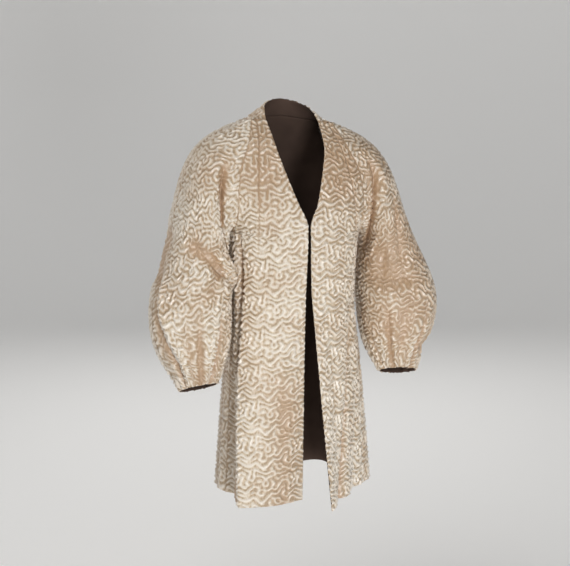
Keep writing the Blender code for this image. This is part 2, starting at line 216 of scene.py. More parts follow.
# Creases of the sleeves: width, depth and the places (turn, reach) that each passes
SleeveCrease = namedtuple("SleeveCrease", "side width depth places")
SLEEVE_CREASES = by_side(SleeveCrease, [
    (0.010, -0.019, ((0.36, 0.08), (0.28, 0.12), (0.21, 0.17), (0.125, 0.24), (0.06, 0.32))),
    (0.016, 0.004, ((0.40, 0.09), (0.33, 0.16), (0.25, 0.23), (0.17, 0.31))),
    (0.009, -0.005, ((0.30, 0.06), (0.25, 0.15), (0.19, 0.25), (0.15, 0.33))),
    (0.018, -0.013, ((0.40, 0.40), (0.30, 0.40), (0.20, 0.43), (0.11, 0.47), (0.03, 0.53))),
    (0.006, -0.006, ((0.28, 0.375), (0.20, 0.405), (0.12, 0.44), (0.05, 0.49))),
    (0.006, -0.007, ((0.26, 0.425), (0.18, 0.455), (0.10, 0.505), (0.04, 0.56))),
    (0.018, 0.006, ((0.33, 0.32), (0.22, 0.35), (0.12, 0.39), (0.04, 0.44))),
    (0.022, 0.006, ((0.34, 0.47), (0.23, 0.50), (0.13, 0.55), (0.05, 0.61))),
    (0.011, 0.014, ((0.45, 0.50), (0.43, 0.57), (0.415, 0.67), (0.386, 0.74), (0.352, 0.87),
                    (0.34, 1.0))),
    (0.010, -0.022, ((0.50, 0.48), (0.475, 0.57), (0.46, 0.67), (0.435, 0.75), (0.40, 0.87),
                     (0.39, 1.0))),
    (0.032, 0.028, ((0.11, 0.05), (0.10, 0.25), (0.08, 0.42), (0.06, 0.58))),
    (0.032, 0.028, ((1.11, 0.05), (1.10, 0.25), (1.08, 0.42), (1.06, 0.58))),
    (0.028, -0.017, ((0.52, 0.35), (0.53, 0.46), (0.53, 0.57))),
    (0.014, -0.008, ((0.95, 0.22), (0.86, 0.34), (0.77, 0.45))),
    (0.018, -0.009, ((0.92, 0.42), (0.80, 0.52), (0.68, 0.58))),
    (0.020, -0.005, ((0.66, 0.30), (0.62, 0.44), (0.60, 0.60))),
], [
    (0.009, -0.017, ((0.36, 0.06), (0.30, 0.10), (0.22, 0.11), (0.13, 0.15), (0.07, 0.25),
                     (0.04, 0.38))),
    (0.016, 0.009, ((0.38, 0.10), (0.31, 0.15), (0.24, 0.17), (0.16, 0.22), (0.11, 0.31),
                    (0.09, 0.42))),
    (0.018, -0.012, ((0.28, 0.91), (0.42, 0.89), (0.55, 0.88), (0.70, 0.90))),
    (0.008, -0.004, ((0.30, 0.03), (0.22, 0.05), (0.14, 0.08))),
    (0.014, -0.007, ((0.34, 0.20), (0.29, 0.28), (0.27, 0.40), (0.24, 0.52))),
    (0.016, -0.006, ((0.20, 0.36), (0.17, 0.48), (0.15, 0.60))),
    (0.020, -0.006, ((0.08, 0.50), (0.18, 0.56), (0.30, 0.58))),
    (0.014, -0.008, ((0.95, 0.24), (0.86, 0.34), (0.76, 0.44))),
    (0.018, -0.008, ((0.90, 0.46), (0.80, 0.55), (0.69, 0.60))),
    (0.020, -0.005, ((0.64, 0.32), (0.60, 0.46), (0.58, 0.62))),
])

# Creases of the body: width, depth and the places (angle, height) that each passes
BodyCrease = namedtuple("BodyCrease", "side width depth places")
BODY_CREASES = by_side(BodyCrease, [
    (0.0055, -0.040, ((67, -0.22), (67.5, -0.40), (68, -0.62), (62, -0.80), (57, -0.94), (53, -1.12))),
    (0.020, 0.013, ((75, -0.24), (76, -0.45), (75, -0.66), (70, -0.84))),
    (0.014, -0.024, ((77, -0.56), (73, -0.72), (68, -0.88), (64, -1.12))),
    (0.012, 0.008, ((61, -0.32), (61, -0.62), (55, -0.80), (50, -0.94), (46, -1.12))),
    (0.020, -0.006, ((24, -0.52), (20, -0.70), (17, -0.94), (14, -1.12))),
    (0.012, -0.007, ((100, -0.34), (101, -0.62), (103, -0.94), (104, -1.12))),
    (0.014, -0.009, ((128, -0.40), (131, -0.70), (134, -0.94), (135, -1.12))),
    (0.018, -0.006, ((170, -0.16), (160, -0.24), (146, -0.29))),
], [
    (0.010, -0.013, ((61, -0.40), (57, -0.51), (43, -0.63), (32, -0.77), (26, -0.87), (20, -0.96),
                     (12, -1.12))),
    (0.014, 0.004, ((74, -0.36), (72, -0.60), (70, -0.94), (69, -1.12))),
    (0.030, 0.014, ((56, -0.58), (54, -0.75), (53, -0.94), (53, -1.12))),
    (0.010, -0.006, ((82, -0.34), (81, -0.62), (80, -0.94), (80, -1.12))),
    (0.013, -0.009, ((115, -0.36), (117, -0.62), (119, -0.94), (120, -1.12))),
    (0.014, -0.007, ((152, -0.45), (154, -0.70), (157, -0.94), (158, -1.12))),
    (0.018, -0.005, ((172, -0.18), (161, -0.25), (148, -0.29))),
])

# Radius that turns angles into lengths, share of a crease that fades at each end, rounding of its top
CREASE_RADIUS = 0.170
CREASE_END = 0.22
CREASE_TOP = 0.25

# Darts of the fronts: how far out from the middle each runs at each height, then their foot, the
# length in which they fade, the cloth they take in, their depth, half width and step in the pattern
Dart = namedtuple("Dart", "height right left")
DARTS = [
    Dart(0.010, 0.087, 0.090),
    Dart(-0.083, 0.105, 0.114),
    Dart(-0.150, 0.113, 0.124),
    Dart(-0.220, 0.116, 0.130),
    Dart(-0.320, 0.116, 0.138),
]
DART_FOOT = -0.330
DART_FADE = 0.060
DART_INTAKE = 0.036
DART_DEPTH = 0.0030
DART_WIDTH = 0.0021
DART_STEP = 0.002

# Tan places on the cloth, partly stains and partly painted shade where the satin tilts up away from the
# light (chest, yoke, neck band): the piece, how far across and how high each lies, its half sizes and
# its strength
TanAndShadePlace = namedtuple("TanAndShadePlace", "piece across height half_width half_height strength")
TAN_AND_SHADE_PLACES = [
    TanAndShadePlace("front_right", -0.085, -0.085, 0.075, 0.090, 0.66),
    TanAndShadePlace("front_right", -0.110, -0.165, 0.030, 0.050, 0.15),
    TanAndShadePlace("front_right", -0.080, -0.005, 0.040, 0.055, 0.30),
    TanAndShadePlace("neck_band", -0.070, 0.015, 0.050, 0.040, 0.30),
    TanAndShadePlace("front_right", -0.038, -0.690, 0.024, 0.058, 0.75),
    TanAndShadePlace("front_right", -0.030, -0.860, 0.060, 0.060, 0.15),
    TanAndShadePlace("front_left", 0.090, -0.100, 0.075, 0.100, 1.10),
    TanAndShadePlace("sleeve_front_right", -0.230, -0.290, 0.050, 0.030, 0.50),
    TanAndShadePlace("sleeve_front_right", -0.215, -0.080, 0.070, 0.090, 0.35),
    TanAndShadePlace("sleeve_front_left", 0.240, -0.280, 0.140, 0.260, 0.30),
    TanAndShadePlace("sleeve_front_left", 0.190, -0.110, 0.060, 0.070, 0.55),
    TanAndShadePlace("sleeve_front_left", 0.260, -0.300, 0.060, 0.090, 0.50),
    TanAndShadePlace("sleeve_front_left", 0.190, -0.360, 0.030, 0.060, 0.40),
    TanAndShadePlace("sleeve_front_left", 0.210, -0.480, 0.070, 0.060, 0.48),
    TanAndShadePlace("sleeve_front_left", 0.300, -0.440, 0.050, 0.060, 0.30),
    TanAndShadePlace("sleeve_back_right", -0.230, -0.120, 0.060, 0.070, 0.28),
    TanAndShadePlace("sleeve_back_left", 0.240, -0.300, 0.060, 0.080, 0.30),
    TanAndShadePlace("back", -0.020, -0.070, 0.130, 0.080, 0.65),
    TanAndShadePlace("back", 0.090, -0.560, 0.050, 0.070, 0.30),
    TanAndShadePlace("neck_band", 0.000, 0.010, 0.120, 0.060, 0.30),
]

# Depth at which a trough is at its most tan, how strong the painted shade in a trough is, and how strong
# the painted shade in the grooves of seams and darts is
TROUGH_DEPTH = 0.010
TROUGH_PAINTED_SHADE = 0.85
STITCHED_PAINTED_SHADE = 0.4

# Height of the quilting: its wave to a power, less a level, times the ridge height
RIDGE_POWER = 1.7
RIDGE_LEVEL = 0.50

# How much each kind of place flattens the quilting and dulls its ridges, moving their colour from
# painted highlight towards painted shade
Calm = namedtuple("Calm", "flatter duller")
CALM_SEAM = Calm(0.6, 0.5)
CALM_DART = Calm(0.8, 0.4)
CALM_TROUGH = Calm(0.6, 0.25)
CALM_DEEP = Calm(0.8, 0.0)
CALM_TAN = Calm(0.5, 0.0)
DEEP_FOLD = 0.030

# Half width of the line that two sewn pieces share, least wall, most dip of the lining at an edge
SEAM_LINE = 0.0007
LEAST_WALL = 0.0006
EDGE_DIP = 0.004

# Growth of the quilting: one repeat in pitches, points to a pitch, first lines and their push in
# waves, steps of growth, blur in pitches, how tightly lines are pulled in, shift in pitches, and
# the ring of frequencies that noise keeps
QUILT_SEED = 13
REPEAT_DOWN = 7
REPEAT_ACROSS = 12
PITCH_POINTS = 24
FIRST_LINES = 5
FIRST_PUSH = 0.35
GROWTH_STEPS = 24
GROWTH_STEP = 0.25
GROWTH_RATE = 0.6
HOLLOW_JOIN = 0.35
STRENGTH_BLUR = 0.6
PULL_MEAN = 0.94
PULL_SPREAD = 0.08
PULL_LEAST = 0.74
SPACING_SHIFT = 0.13
NOISE_RING = 0.8
NOISE_SPREAD = 0.35

# Points that a line is measured by
FRONT_SAMPLES = 97
BACK_SAMPLES = 193
RAGLAN_SAMPLES = 400
NECK_SAMPLES = 41
NECKLINE_SAMPLES = 161

# Rows and columns of each piece's quilted face
FRONT_GRID = (581, 141)
BACK_GRID = (397, 209)
SLEEVE_FRONT_GRID = (369, 165)
SLEEVE_BACK_GRID = (309, 145)
BAND_GRID = (29, 205)
LINING_STRIDE = 4

# Laying flat: rows and columns of the coarse grid, its least stride, and the steps that relax it
FLAT_GRID = (41, 25)
FLAT_STRIDE = 4
FLAT_STEPS = 900
FLAT_PULL = 0.28

# Narrow steps beside every edge; the first is the space kept free at a seam
EDGE_STEPS = (0.00002, 0.0008, 0.0018, 0.0032)

# Where on the quilted cloth each piece was cut
Cut = namedtuple("Cut", "piece across along")
CUTS = [
    Cut("front_right", 0.020, 0.010),
    Cut("front_left", 0.075, 0.052),
    Cut("back", 0.000, 0.030),
    Cut("sleeve_front_right", 0.040, 0.066),
    Cut("sleeve_back_right", 0.093, 0.021),
    Cut("sleeve_front_left", 0.011, 0.080),
    Cut("sleeve_back_left", 0.058, 0.044),
    Cut("neck_band", 0.033, 0.072),
]

# Edges that are seams: on most pieces, and on the fronts
SEWN_EDGES = ("first_row", "first_column", "last_column")
FRONT_SEWN_EDGES = ("first_row", "last_column")

# Noises on the cloth: waves a metre across and along, and detail
PUCKER_NOISE = (200.0, 110.0, 2.0)
THREAD_NOISE = (1600.0, 260.0, 2.0)
FRAY_NOISE = (300.0, 170.0, 1.0)
FADE_NOISE = (34.0, 34.0, 1.0)
LINING_NOISE = (1400.0, 220.0, 2.0)

# Noises in space: waves a metre and detail
AGE_NOISE = (9.0, 3.0)
CLOUD_NOISE = (14.0, 2.0)
MOTTLE_NOISE = (0.7, 2.0)
NOISE_RANGE = (0.30, 0.70)

# Bumps: strength and depth
PUCKER_BUMP = (1.00, 0.0015)
THREAD_BUMP = (0.20, 0.0004)
LINING_BUMP = (0.20, 0.0003)

# How far noise moves the lines, where age shows and how tan it is, how much tan and painted shade thin
# the ridges
FRAY = 0.18
FADE = 0.16
AGE_RANGE = (0.42, 0.75)
AGE_TAN = (0.0, 0.45)
TAN_THINNING = -0.30

# Shares of the ridge colour for the painted highlight on the crests, the band below them and the tan
# places, share of the tan colour in the painted shade of the stitches there, roughness added along the
# stitches and where that ends
CREST_HIGHLIGHT_TINT = (1.10, 1.12, 1.14)
BAND_TINT = (0.92, 0.90, 0.87)
DULL_RIDGE_TINT = (0.90, 0.82, 0.73)
DULL_VALLEY_SHADE = 0.88
STITCH_ROUGHNESS = 0.22
SMOOTH_FROM = 0.60

# Shares of the lining's and the floor's colours, and the lining's roughness
LINING_SHADES = (0.8, 1.15)
LINING_ROUGHNESS = (0.62, 0.78)
FLOOR_SHADE = 0.985

# Floor: radii of its flat rings and edge, radius of the sweep at its rim, steps round and up
FLOOR_RINGS = (1.2, 2.4)
FLOOR_EDGE = 3.6
SWEEP_RADIUS = 1.8
SWEEP_STEPS = 17
ROUND_STEPS = 128

# Lights: where each stands and how far it fans out, in degrees; all face the same place.
# The rear light's place is across, behind and above, seen from the camera.
Light = namedtuple("Light", "name power place size colour spread")
COOL_WHITE = (0.97, 0.985, 1.0)
LIGHTS = [
    Light("front_light", "front_power", (-0.22, -3.00, -0.98), (0.6, 0.6), COOL_WHITE, 80),
    Light("left_light", "side_power", (2.40, -0.60, -0.20), (0.6, 0.6), COOL_WHITE, 180),
    Light("top_light", "top_power", (-1.10, -0.70, 2.00), (1.6, 1.2), (1.0, 0.99, 0.97), 180),
    Light("right_light", "edge_power", (-2.20, 1.60, -0.30), (0.5, 1.2), COOL_WHITE, 180),
]
REAR_LIGHT = Light("rear_light", "rear_power", (0.0, 2.8, 0.6), (2.4, 1.6), (1.0, 0.99, 0.98), 180)

# Place that the lights face, colour of the surround, width of the camera's sensor in millimetres
LIT_PLACE = (0.0, 0.0, -0.52)
SKY_COLOUR = (0.90, 0.91, 0.93, 1.0)
SENSOR_WIDTH = 36.0


class QuiltedSatin(PropertyGroup):
    """Sizes and colours of the cloth, the colours with painted highlight and painted shade."""

    quilt_pitch: FloatProperty(
        name="Quilt pitch", description="Distance from one quilted ridge to the next",
        default=0.0122, min=0.009, max=0.020, unit="LENGTH")
    ridge_height: FloatProperty(
        name="Ridge height", description="Height of a ridge above the stitched lines",
        default=0.0052, min=0.0, max=0.0070, unit="LENGTH")
    wall: FloatProperty(
        name="Wall", description="Thickness of satin, wadding and lining together",
        default=0.0030, min=0.0020, max=0.0050, unit="LENGTH")
    seam_depth: FloatProperty(
        name="Seam depth", description="How far a seam pulls the cloth in",
        default=0.0013, min=0.0, max=0.0025, unit="LENGTH")
    seam_width: FloatProperty(
        name="Seam width", description="Half the width of the hollow along a seam",
        default=0.0030, min=0.0010, max=0.0100, unit="LENGTH")
    edge_round: FloatProperty(
        name="Edge round", description="Radius of the turned free edges",
        default=0.0022, min=0.0005, max=0.0028, unit="LENGTH")
    # Ridge and slope colours are painted highlight of the satin's sheen on the ridges; the valley colour
    # is painted shade along the stitched hollows
    ridge_highlight_colour: FloatVectorProperty(
        name="Ridge colour", description="Colour on top of the ridges",
        default=(0.790, 0.705, 0.600), min=0.0, max=1.0, size=3, subtype="COLOR")
    slope_colour: FloatVectorProperty(
        name="Slope colour", description="Colour half way down the ridges",
        default=(0.635, 0.505, 0.350), min=0.0, max=1.0, size=3, subtype="COLOR")
    valley_shade_colour: FloatVectorProperty(
        name="Valley colour", description="Colour along the stitched lines",
        default=(0.410, 0.290, 0.165), min=0.0, max=1.0, size=3, subtype="COLOR")
    # The tan colour is partly stains and partly painted shade, in troughs, seams, darts and places
    # turned from the light
    tan_colour: FloatVectorProperty(
        name="Tan colour", description="Colour of the dull places and troughs",
        default=(0.515, 0.330, 0.187), min=0.0, max=1.0, size=3, subtype="COLOR")
    # The lining's dark brown is painted shade of the coat's inside and of its turned edges
    lining_shade_colour: FloatVectorProperty(
        name="Lining colour", description="Colour of the plain lining",
        default=(0.085, 0.056, 0.044), min=0.0, max=1.0, size=3, subtype="COLOR")
    roughness: FloatProperty(
        name="Roughness", description="Roughness of the satin on the ridges",
        default=0.39, min=0.1, max=0.9, subtype="FACTOR")


class SoftStudio(PropertyGroup):
    """Floor, lights and camera."""

    floor_drop: FloatProperty(
        name="Floor drop", description="Height of the neck above the floor",
        default=1.400, min=0.950, max=2.000, unit="LENGTH")
    floor_colour: FloatVectorProperty(
        name="Floor colour", description="Colour of the floor",
        default=(0.780, 0.775, 0.765), min=0.0, max=1.0, size=3, subtype="COLOR")
    floor_glow: FloatProperty(
        name="Floor glow", description="Strength of the even light on the floor and its sweep",
        default=0.26, min=0.0)
    front_power: FloatProperty(
        name="Front light", description="Power of the low front light",
        default=9.2, min=0.0, unit="POWER")
    side_power: FloatProperty(
        name="Side light", description="Power of the light at the wearer's left",
        default=1.5, min=0.0, unit="POWER")
    edge_power: FloatProperty(
        name="Edge light", description="Power of the light behind the wearer's right",
        default=6.0, min=0.0, unit="POWER")
    top_power: FloatProperty(
        name="Top light", description="Power of the light overhead",
        default=27.0, min=0.0, unit="POWER")
    rear_power: FloatProperty(
        name="Rear light", description="Power of the light behind",
        default=29.0, min=0.0, unit="POWER")
    surround: FloatProperty(
        name="Surround", description="Strength of the even light from all round", default=0.05, min=0.0)
    camera_turn: FloatProperty(
        name="Camera turn", description="Turn from straight ahead, towards the wearer's right",
        default=np.radians(18.0), unit="ROTATION")
    camera_pitch: FloatProperty(
        name="Camera pitch", description="How far down the camera looks",
        default=np.radians(12.35), unit="ROTATION")
    camera_distance: FloatProperty(
        name="Camera distance", description="Level distance from the neck", default=3.800, unit="LENGTH")
    camera_height: FloatProperty(
        name="Camera height", description="Height above the neck", default=0.431, unit="LENGTH")
    camera_aside: FloatProperty(
        name="Camera aside", description="Sideways step of the camera", default=0.0143, unit="LENGTH")
    camera_lens: FloatProperty(
        name="Lens", description="Focal length", default=100.55, unit="CAMERA")


def smooth(places, heights, values):
    """Cubic through a table that never overshoots it: slopes are weighted harmonic means."""
    order = np.argsort(heights)
    h = np.asarray(heights, float)[order]
    v = np.asarray(values, float)[order]
    x = np.clip(np.asarray(places, float), h[0], h[-1])
    step = np.diff(h)
    rise = np.diff(v) / step
    slope = np.empty_like(v)
    slope[0] = rise[0]
    slope[-1] = rise[-1]
    same = rise[:-1] * rise[1:] > 0
    before = np.where(same, rise[:-1], 1.0)
    after = np.where(same, rise[1:], 1.0)
    heavy = 2 * step[1:] + step[:-1]
    light = step[1:] + 2 * step[:-1]
    slope[1:-1] = np.where(same, (heavy + light) / (heavy / before + light / after), 0.0)
    k = np.clip(np.searchsorted(h, x, side="right") - 1, 0, len(h) - 2)
    t = (x - h[k]) / step[k]
    ends = v[k] * (1 + 2 * t) * (1 - t) ** 2 + v[k + 1] * t * t * (3 - 2 * t)
    bends = slope[k] * t * (1 - t) ** 2 - slope[k + 1] * t * t * (1 - t)
    return ends + step[k] * bends


def column(rows, name, places):
    """One named column of a table, read smoothly at the given heights."""
    return smooth(places, [row.height for row in rows], [getattr(row, name) for row in rows])


def natural_spline(knots, stops, places):
    """Natural cubic through stops (first axis) at knots: the bends come from one linear solve."""
    count = len(knots)
    step = np.diff(knots)
    matrix = np.eye(count)
    right = np.zeros_like(stops)
    inner = np.arange(1, count - 1)
    matrix[inner, inner - 1] = step[:-1]
    matrix[inner, inner] = 2 * (step[:-1] + step[1:])
    matrix[inner, inner + 1] = step[1:]
    rise = np.diff(stops, axis=0) / step.reshape((-1,) + (1,) * (stops.ndim - 1))
    right[1:-1] = 6 * np.diff(rise, axis=0)
    bend = np.linalg.solve(matrix, right.reshape(count, -1)).reshape(stops.shape)
    k = np.clip(np.searchsorted(knots, places, side="right") - 1, 0, count - 2)
    shape = (-1,) + (1,) * (stops.ndim - 1)
    b = ((places - knots[k]) / step[k]).reshape(shape)
    a = 1 - b
    span = (step[k] ** 2).reshape(shape) / 6
    return a * stops[k] + b * stops[k + 1] + ((a ** 3 - a) * bend[k] + (b ** 3 - b) * bend[k + 1]) * span


def eased(share):
    """Smooth step: 3 t squared less 2 t cubed, with t held between 0 and 1."""
    t = np.clip(share, 0, 1)
    return t * t * (3 - 2 * t)


def running(points, axis):
    """Length along a grid's lines from their start: the sum of the chords so far."""
    steps = np.linalg.norm(np.diff(points, axis=axis), axis=-1)
    total = np.cumsum(steps, axis=axis)
    start = np.zeros_like(np.take(total, [0], axis=axis))
    return np.concatenate([start, total], axis=axis)


def shares_of(line):
    """Share of a polyline's length at each of its points."""
    along = running(line, 0)
    return along / along[-1]


def resample(line, shares):
    """Points of a polyline at the given shares of its length, joined straight."""
    known = shares_of(line)
    return np.stack([np.interp(shares, known, line[:, k]) for k in range(3)], axis=-1)


def graded(length, count):
    """Shares of a length: the narrow edge steps at both ends and even steps between."""
    length = np.reshape(length, (-1, 1))
    near = np.array(EDGE_STEPS) / length
    even = np.linspace(0, 1, count - 2 * len(EDGE_STEPS) + 2)[1:-1]
    middle = near[:, -1:] + (1 - 2 * near[:, -1:]) * even
    return np.concatenate([near, middle, 1 - near[:, ::-1]], axis=1)


def interp_rows(wanted, known, values):
    """Straight interpolation row by row: each row is moved along by 2, so all rows make one line."""
    ahead = 2.0 * np.arange(len(known))[:, None]
    flat = np.interp((wanted + ahead).ravel(), (known + ahead).ravel(), values.ravel())
    return flat.reshape(wanted.shape)


def line_bell(x, y, line, width):
    """1 along a polyline, falling off beside it as a soft peak and to 0 at both of its ends.

    The distance is to the nearest part of the polyline. The peak is the exponential of minus the
    distance over the width, rounded at its top.
    """
    lengths = np.linalg.norm(np.diff(line, axis=0), axis=1)
    before = np.concatenate([[0.0], np.cumsum(lengths)]) / lengths.sum()
    nearest = np.full(np.broadcast(x, y).shape, np.inf)
    share = np.zeros(nearest.shape)
    for k in range(len(lengths)):
        run = line[k + 1] - line[k]
        t = np.clip(((x - line[k, 0]) * run[0] + (y - line[k, 1]) * run[1]) / (run @ run), 0, 1)
        aside = (x - line[k, 0] - t * run[0]) ** 2 + (y - line[k, 1] - t * run[1]) ** 2
        share = np.where(aside < nearest, before[k] + t * (before[k + 1] - before[k]), share)
        nearest = np.minimum(nearest, aside)
    soft = CREASE_TOP * width
    fade = eased(share / CREASE_END) * eased((1 - share) / CREASE_END)
    return fade * np.exp((soft - np.sqrt(nearest + soft ** 2)) / width)


def angle_from(start, side, angle):
    """Angle counted from the middle front over the start side, past the middle back on the other."""
    return np.where(np.equal(side, start), angle, 360 - angle)


def fold_offset(side, angle, height):
    """How far the flutes move the body out: a bell curve round each flute, growing to the hem."""
    total = np.zeros(np.broadcast(angle, height).shape)
    for fold in BODY_FOLDS:
        place = angle_from(fold.side, side, angle)
        fallen = np.clip((fold.start - height) / (fold.start - HEM_HEIGHT), 0, 1) ** fold.growth
        begun = eased((fold.start - height) / FOLD_EASE)
        total += fold.depth * fallen * begun * np.exp(-((place - fold.angle) / fold.spread) ** 2)
    return total


def body_creases(side, angle, height):
    """How far the creases move the body out; the angle is turned to a length round the body."""
    total = np.zeros(angle.shape)
    for crease in BODY_CREASES:
        place = angle_from(crease.side, side, angle)
        line = np.array(crease.places) * [np.radians(1) * CREASE_RADIUS, 1]
        around = np.radians(place) * CREASE_RADIUS
        total += crease.depth * line_bell(around, height, line, crease.width)
    return total


def body_point(side, angle, height, creases=0.0):
    """Point of the body: a squared ellipse at each height, moved out by the flutes and by creases.

    The move is along the radius. The angle runs from the middle front (0) to the middle back (180)
    on either side.
    """
    angle = np.asarray(angle, float)
    side, angle, height = np.broadcast_arrays(side, angle, np.asarray(height, float))
    turn = np.radians(angle)
    width = column(SECTIONS, "half_width", height)
    depth = np.where(angle < 90, column(SECTIONS, "front", height), column(SECTIONS, "back", height))
    x = width * np.abs(np.sin(turn)) ** SECTION_SQUARENESS
    y = -np.sign(np.cos(turn)) * depth * np.abs(np.cos(turn)) ** SECTION_SQUARENESS
    moved = fold_offset(side, angle, height) + creases
    grow = 1 + moved / np.maximum(np.hypot(x, y), 1e-6)
    return np.stack([side * x * grow, y * grow, height], axis=-1)


def section_angle(sideways, height, back=False):
    """Angle at which a section passes a given distance from the middle: the ellipse turned round."""
    share = np.clip(sideways / column(SECTIONS, "half_width", height), 0, 1)
    angle = np.degrees(np.arcsin(share ** (1 / SECTION_SQUARENESS)))
    return 180 - angle if back else angle


def edge_angle(side, height):
    """Angle of a front edge."""
    name = "right" if side == RIGHT else "left"
    return section_angle(column(FRONT_EDGES, name, height), height)


def outer_angle(height, back=False):
    """Angle of the raglan seam above the underarm and of the side seam below it."""
    place = column(RAGLAN, "back" if back else "front", height)
    return np.where(np.greater(height, UNDERARM_HEIGHT), section_angle(place, height, back), 90.0)


def settle(points):
    """The right shoulder sits a little higher and the left one lower; fades down the body."""
    fade = eased((points[..., 2] - SHOULDER_SHIFT_FOOT) / SHOULDER_SHIFT_SPAN)
    x = points[..., 0]
    lift = np.clip((-x - NECK_HALF_WIDTH) / (SHOULDER_HALF_WIDTH - NECK_HALF_WIDTH), 0, 1)
    drop = np.clip(x / NECK_HALF_WIDTH, 0, 1)
    moved = np.array(points)
    moved[..., 2] += fade * (SHOULDER_RISE_RIGHT * lift - SHOULDER_DROP_LEFT * drop)
    return moved


def body_rows(top, count):
    """Heights of a body panel's rows from its top to the hem, graded at both ends."""
    return top + (HEM_HEIGHT - top) * graded(top - HEM_HEIGHT, count)[0]


def halves(around):
    """Side and angle of places all round the body, counted from the middle front over the right side."""
    return np.where(around < 180, RIGHT, LEFT), np.where(around < 180, around, 360 - around)


def even_angles(known, points, count):
    """Angles that part each row evenly along the cloth, read from known ones and their points."""
    lengths = running(points, 1)
    return interp_rows(graded(lengths[:, -1], count), lengths / lengths[:, -1:], known)


def body_surface(side, angles, heights):
    """Points of the body with its creases, and how far the creases move each of them."""
    moved = body_creases(side, angles, heights)
    return body_point(side, angles, heights, moved), moved


def front_surface(side):
    """Rows from the neck to the hem, columns from the front edge to the raglan or side seam.

    Gives the points and how far creases move each of them.
    """
    heights = body_rows(FRONT_SEAM_TOP, FRONT_GRID[0])[:, None]
    first = edge_angle(side, heights)
    known = first + (outer_angle(heights) - first) * np.linspace(0, 1, FRONT_SAMPLES)
    angles = even_angles(known, body_point(side, known, heights), FRONT_GRID[1])
    return body_surface(side, angles, heights)


def back_surface():
    """Rows from the neck to the hem, columns from the right side seam round to the left one.

    Gives the points and how far creases move each of them.
    """
    heights = body_rows(BACK_SEAM_TOP, BACK_GRID[0])[:, None]
    outer = outer_angle(heights, True)
    known = outer + (360 - 2 * outer) * np.linspace(0, 1, BACK_SAMPLES)
    around = even_angles(known, body_point(*halves(known), heights), BACK_GRID[1])
    return body_surface(*halves(around), heights)


def raglan_line(side, back):
    """Raglan seam from the underarm up to the neck."""
    heights = np.linspace(UNDERARM_HEIGHT, BACK_SEAM_TOP if back else FRONT_SEAM_TOP, RAGLAN_SAMPLES)
    return body_surface(side, outer_angle(heights, back), heights)[0]


def neck_line(side, back):
    """Neck edge of a sleeve half, a bowed line between the tops of the front and back seams."""
    front_top = body_point(side, outer_angle(FRONT_SEAM_TOP), FRONT_SEAM_TOP)
    back_top = body_point(side, outer_angle(BACK_SEAM_TOP, True), BACK_SEAM_TOP)
    middle = (front_top + back_top) / 2 + np.array([side * NECK_EDGE_BOW, 0, -NECK_EDGE_DIP])
    start, end = (middle, back_top) if back else (front_top, middle)
    control = (start + end) / 2 + np.array([side * NECK_EDGE_BOW / 2, 0, 0])
    t = np.linspace(0, 1, NECK_SAMPLES)[:, None]
    return (1 - t) ** 2 * start + 2 * t * (1 - t) * control + t * t * end


def armhole(side, back):
    """Top edge of a sleeve half: the front one from underarm to shoulder, the back one down again."""
    if back:
        return np.concatenate([neck_line(side, True), raglan_line(side, True)[::-1][1:]])
    return np.concatenate([raglan_line(side, False), neck_line(side, False)[1:]])


def ring_points(ring, side, turns):
    """Points round one ring of a sleeve: a squared ellipse between its inner and outer ends."""
    inner = np.array([ring.inner_x, ring.middle_y, ring.inner_z])
    outer = np.array([ring.outer_x, ring.middle_y, ring.outer_z])
    across = (outer - inner) / 2
    unit = across / np.linalg.norm(across)
    tilt = np.radians(ring.tilt)
    forward = np.array([0.0, -np.cos(tilt), np.sin(tilt)])
    forward -= unit * (forward @ unit)
    forward /= np.linalg.norm(forward)
    sine = np.sin(2 * np.pi * turns)
    cosine = np.cos(2 * np.pi * turns)
    depth = np.where(sine > 0, ring.front, ring.back)
    reach = -np.sign(cosine) * np.abs(cosine) ** RING_SQUARENESS
    bulge = np.sign(sine) * np.abs(sine) ** RING_SQUARENESS * depth
    points = (inner + outer) / 2 + np.outer(reach, across) + np.outer(bulge, forward)
    points[:, 0] += SLEEVE_OUTSET[side]
    return points * [side, 1, 1]


def sleeve_offset(side, turn, reach, girth, length):
    """How far folds, creases and tucks move a sleeve out from its middle, in metres."""
    total = np.zeros(np.broadcast(turn, reach).shape)
    for fold in SLEEVE_FOLDS:
        if fold.side == side:
            along = (reach - fold.reach) / fold.length
            across = (turn - fold.turn - fold.slant * (reach - fold.reach)) / fold.spread
            total += fold.depth * np.exp(-along ** 2 - across ** 2)
    wide = girth.max()
    for crease in SLEEVE_CREASES:
        if crease.side == side:
            line = np.array(crease.places) * [wide, length]
            total += crease.depth * line_bell(turn * wide, reach * length, line, crease.width)
    for tuck in TUCKS:
        if tuck.side == side:
            grown = eased((reach - tuck.start) / TUCK_GROWTH)
            across = (turn - tuck.turn) * girth / tuck.width
            total -= tuck.depth * grown * np.exp(-across ** 2)
    return total * eased(reach * length / ARMHOLE_EASE)


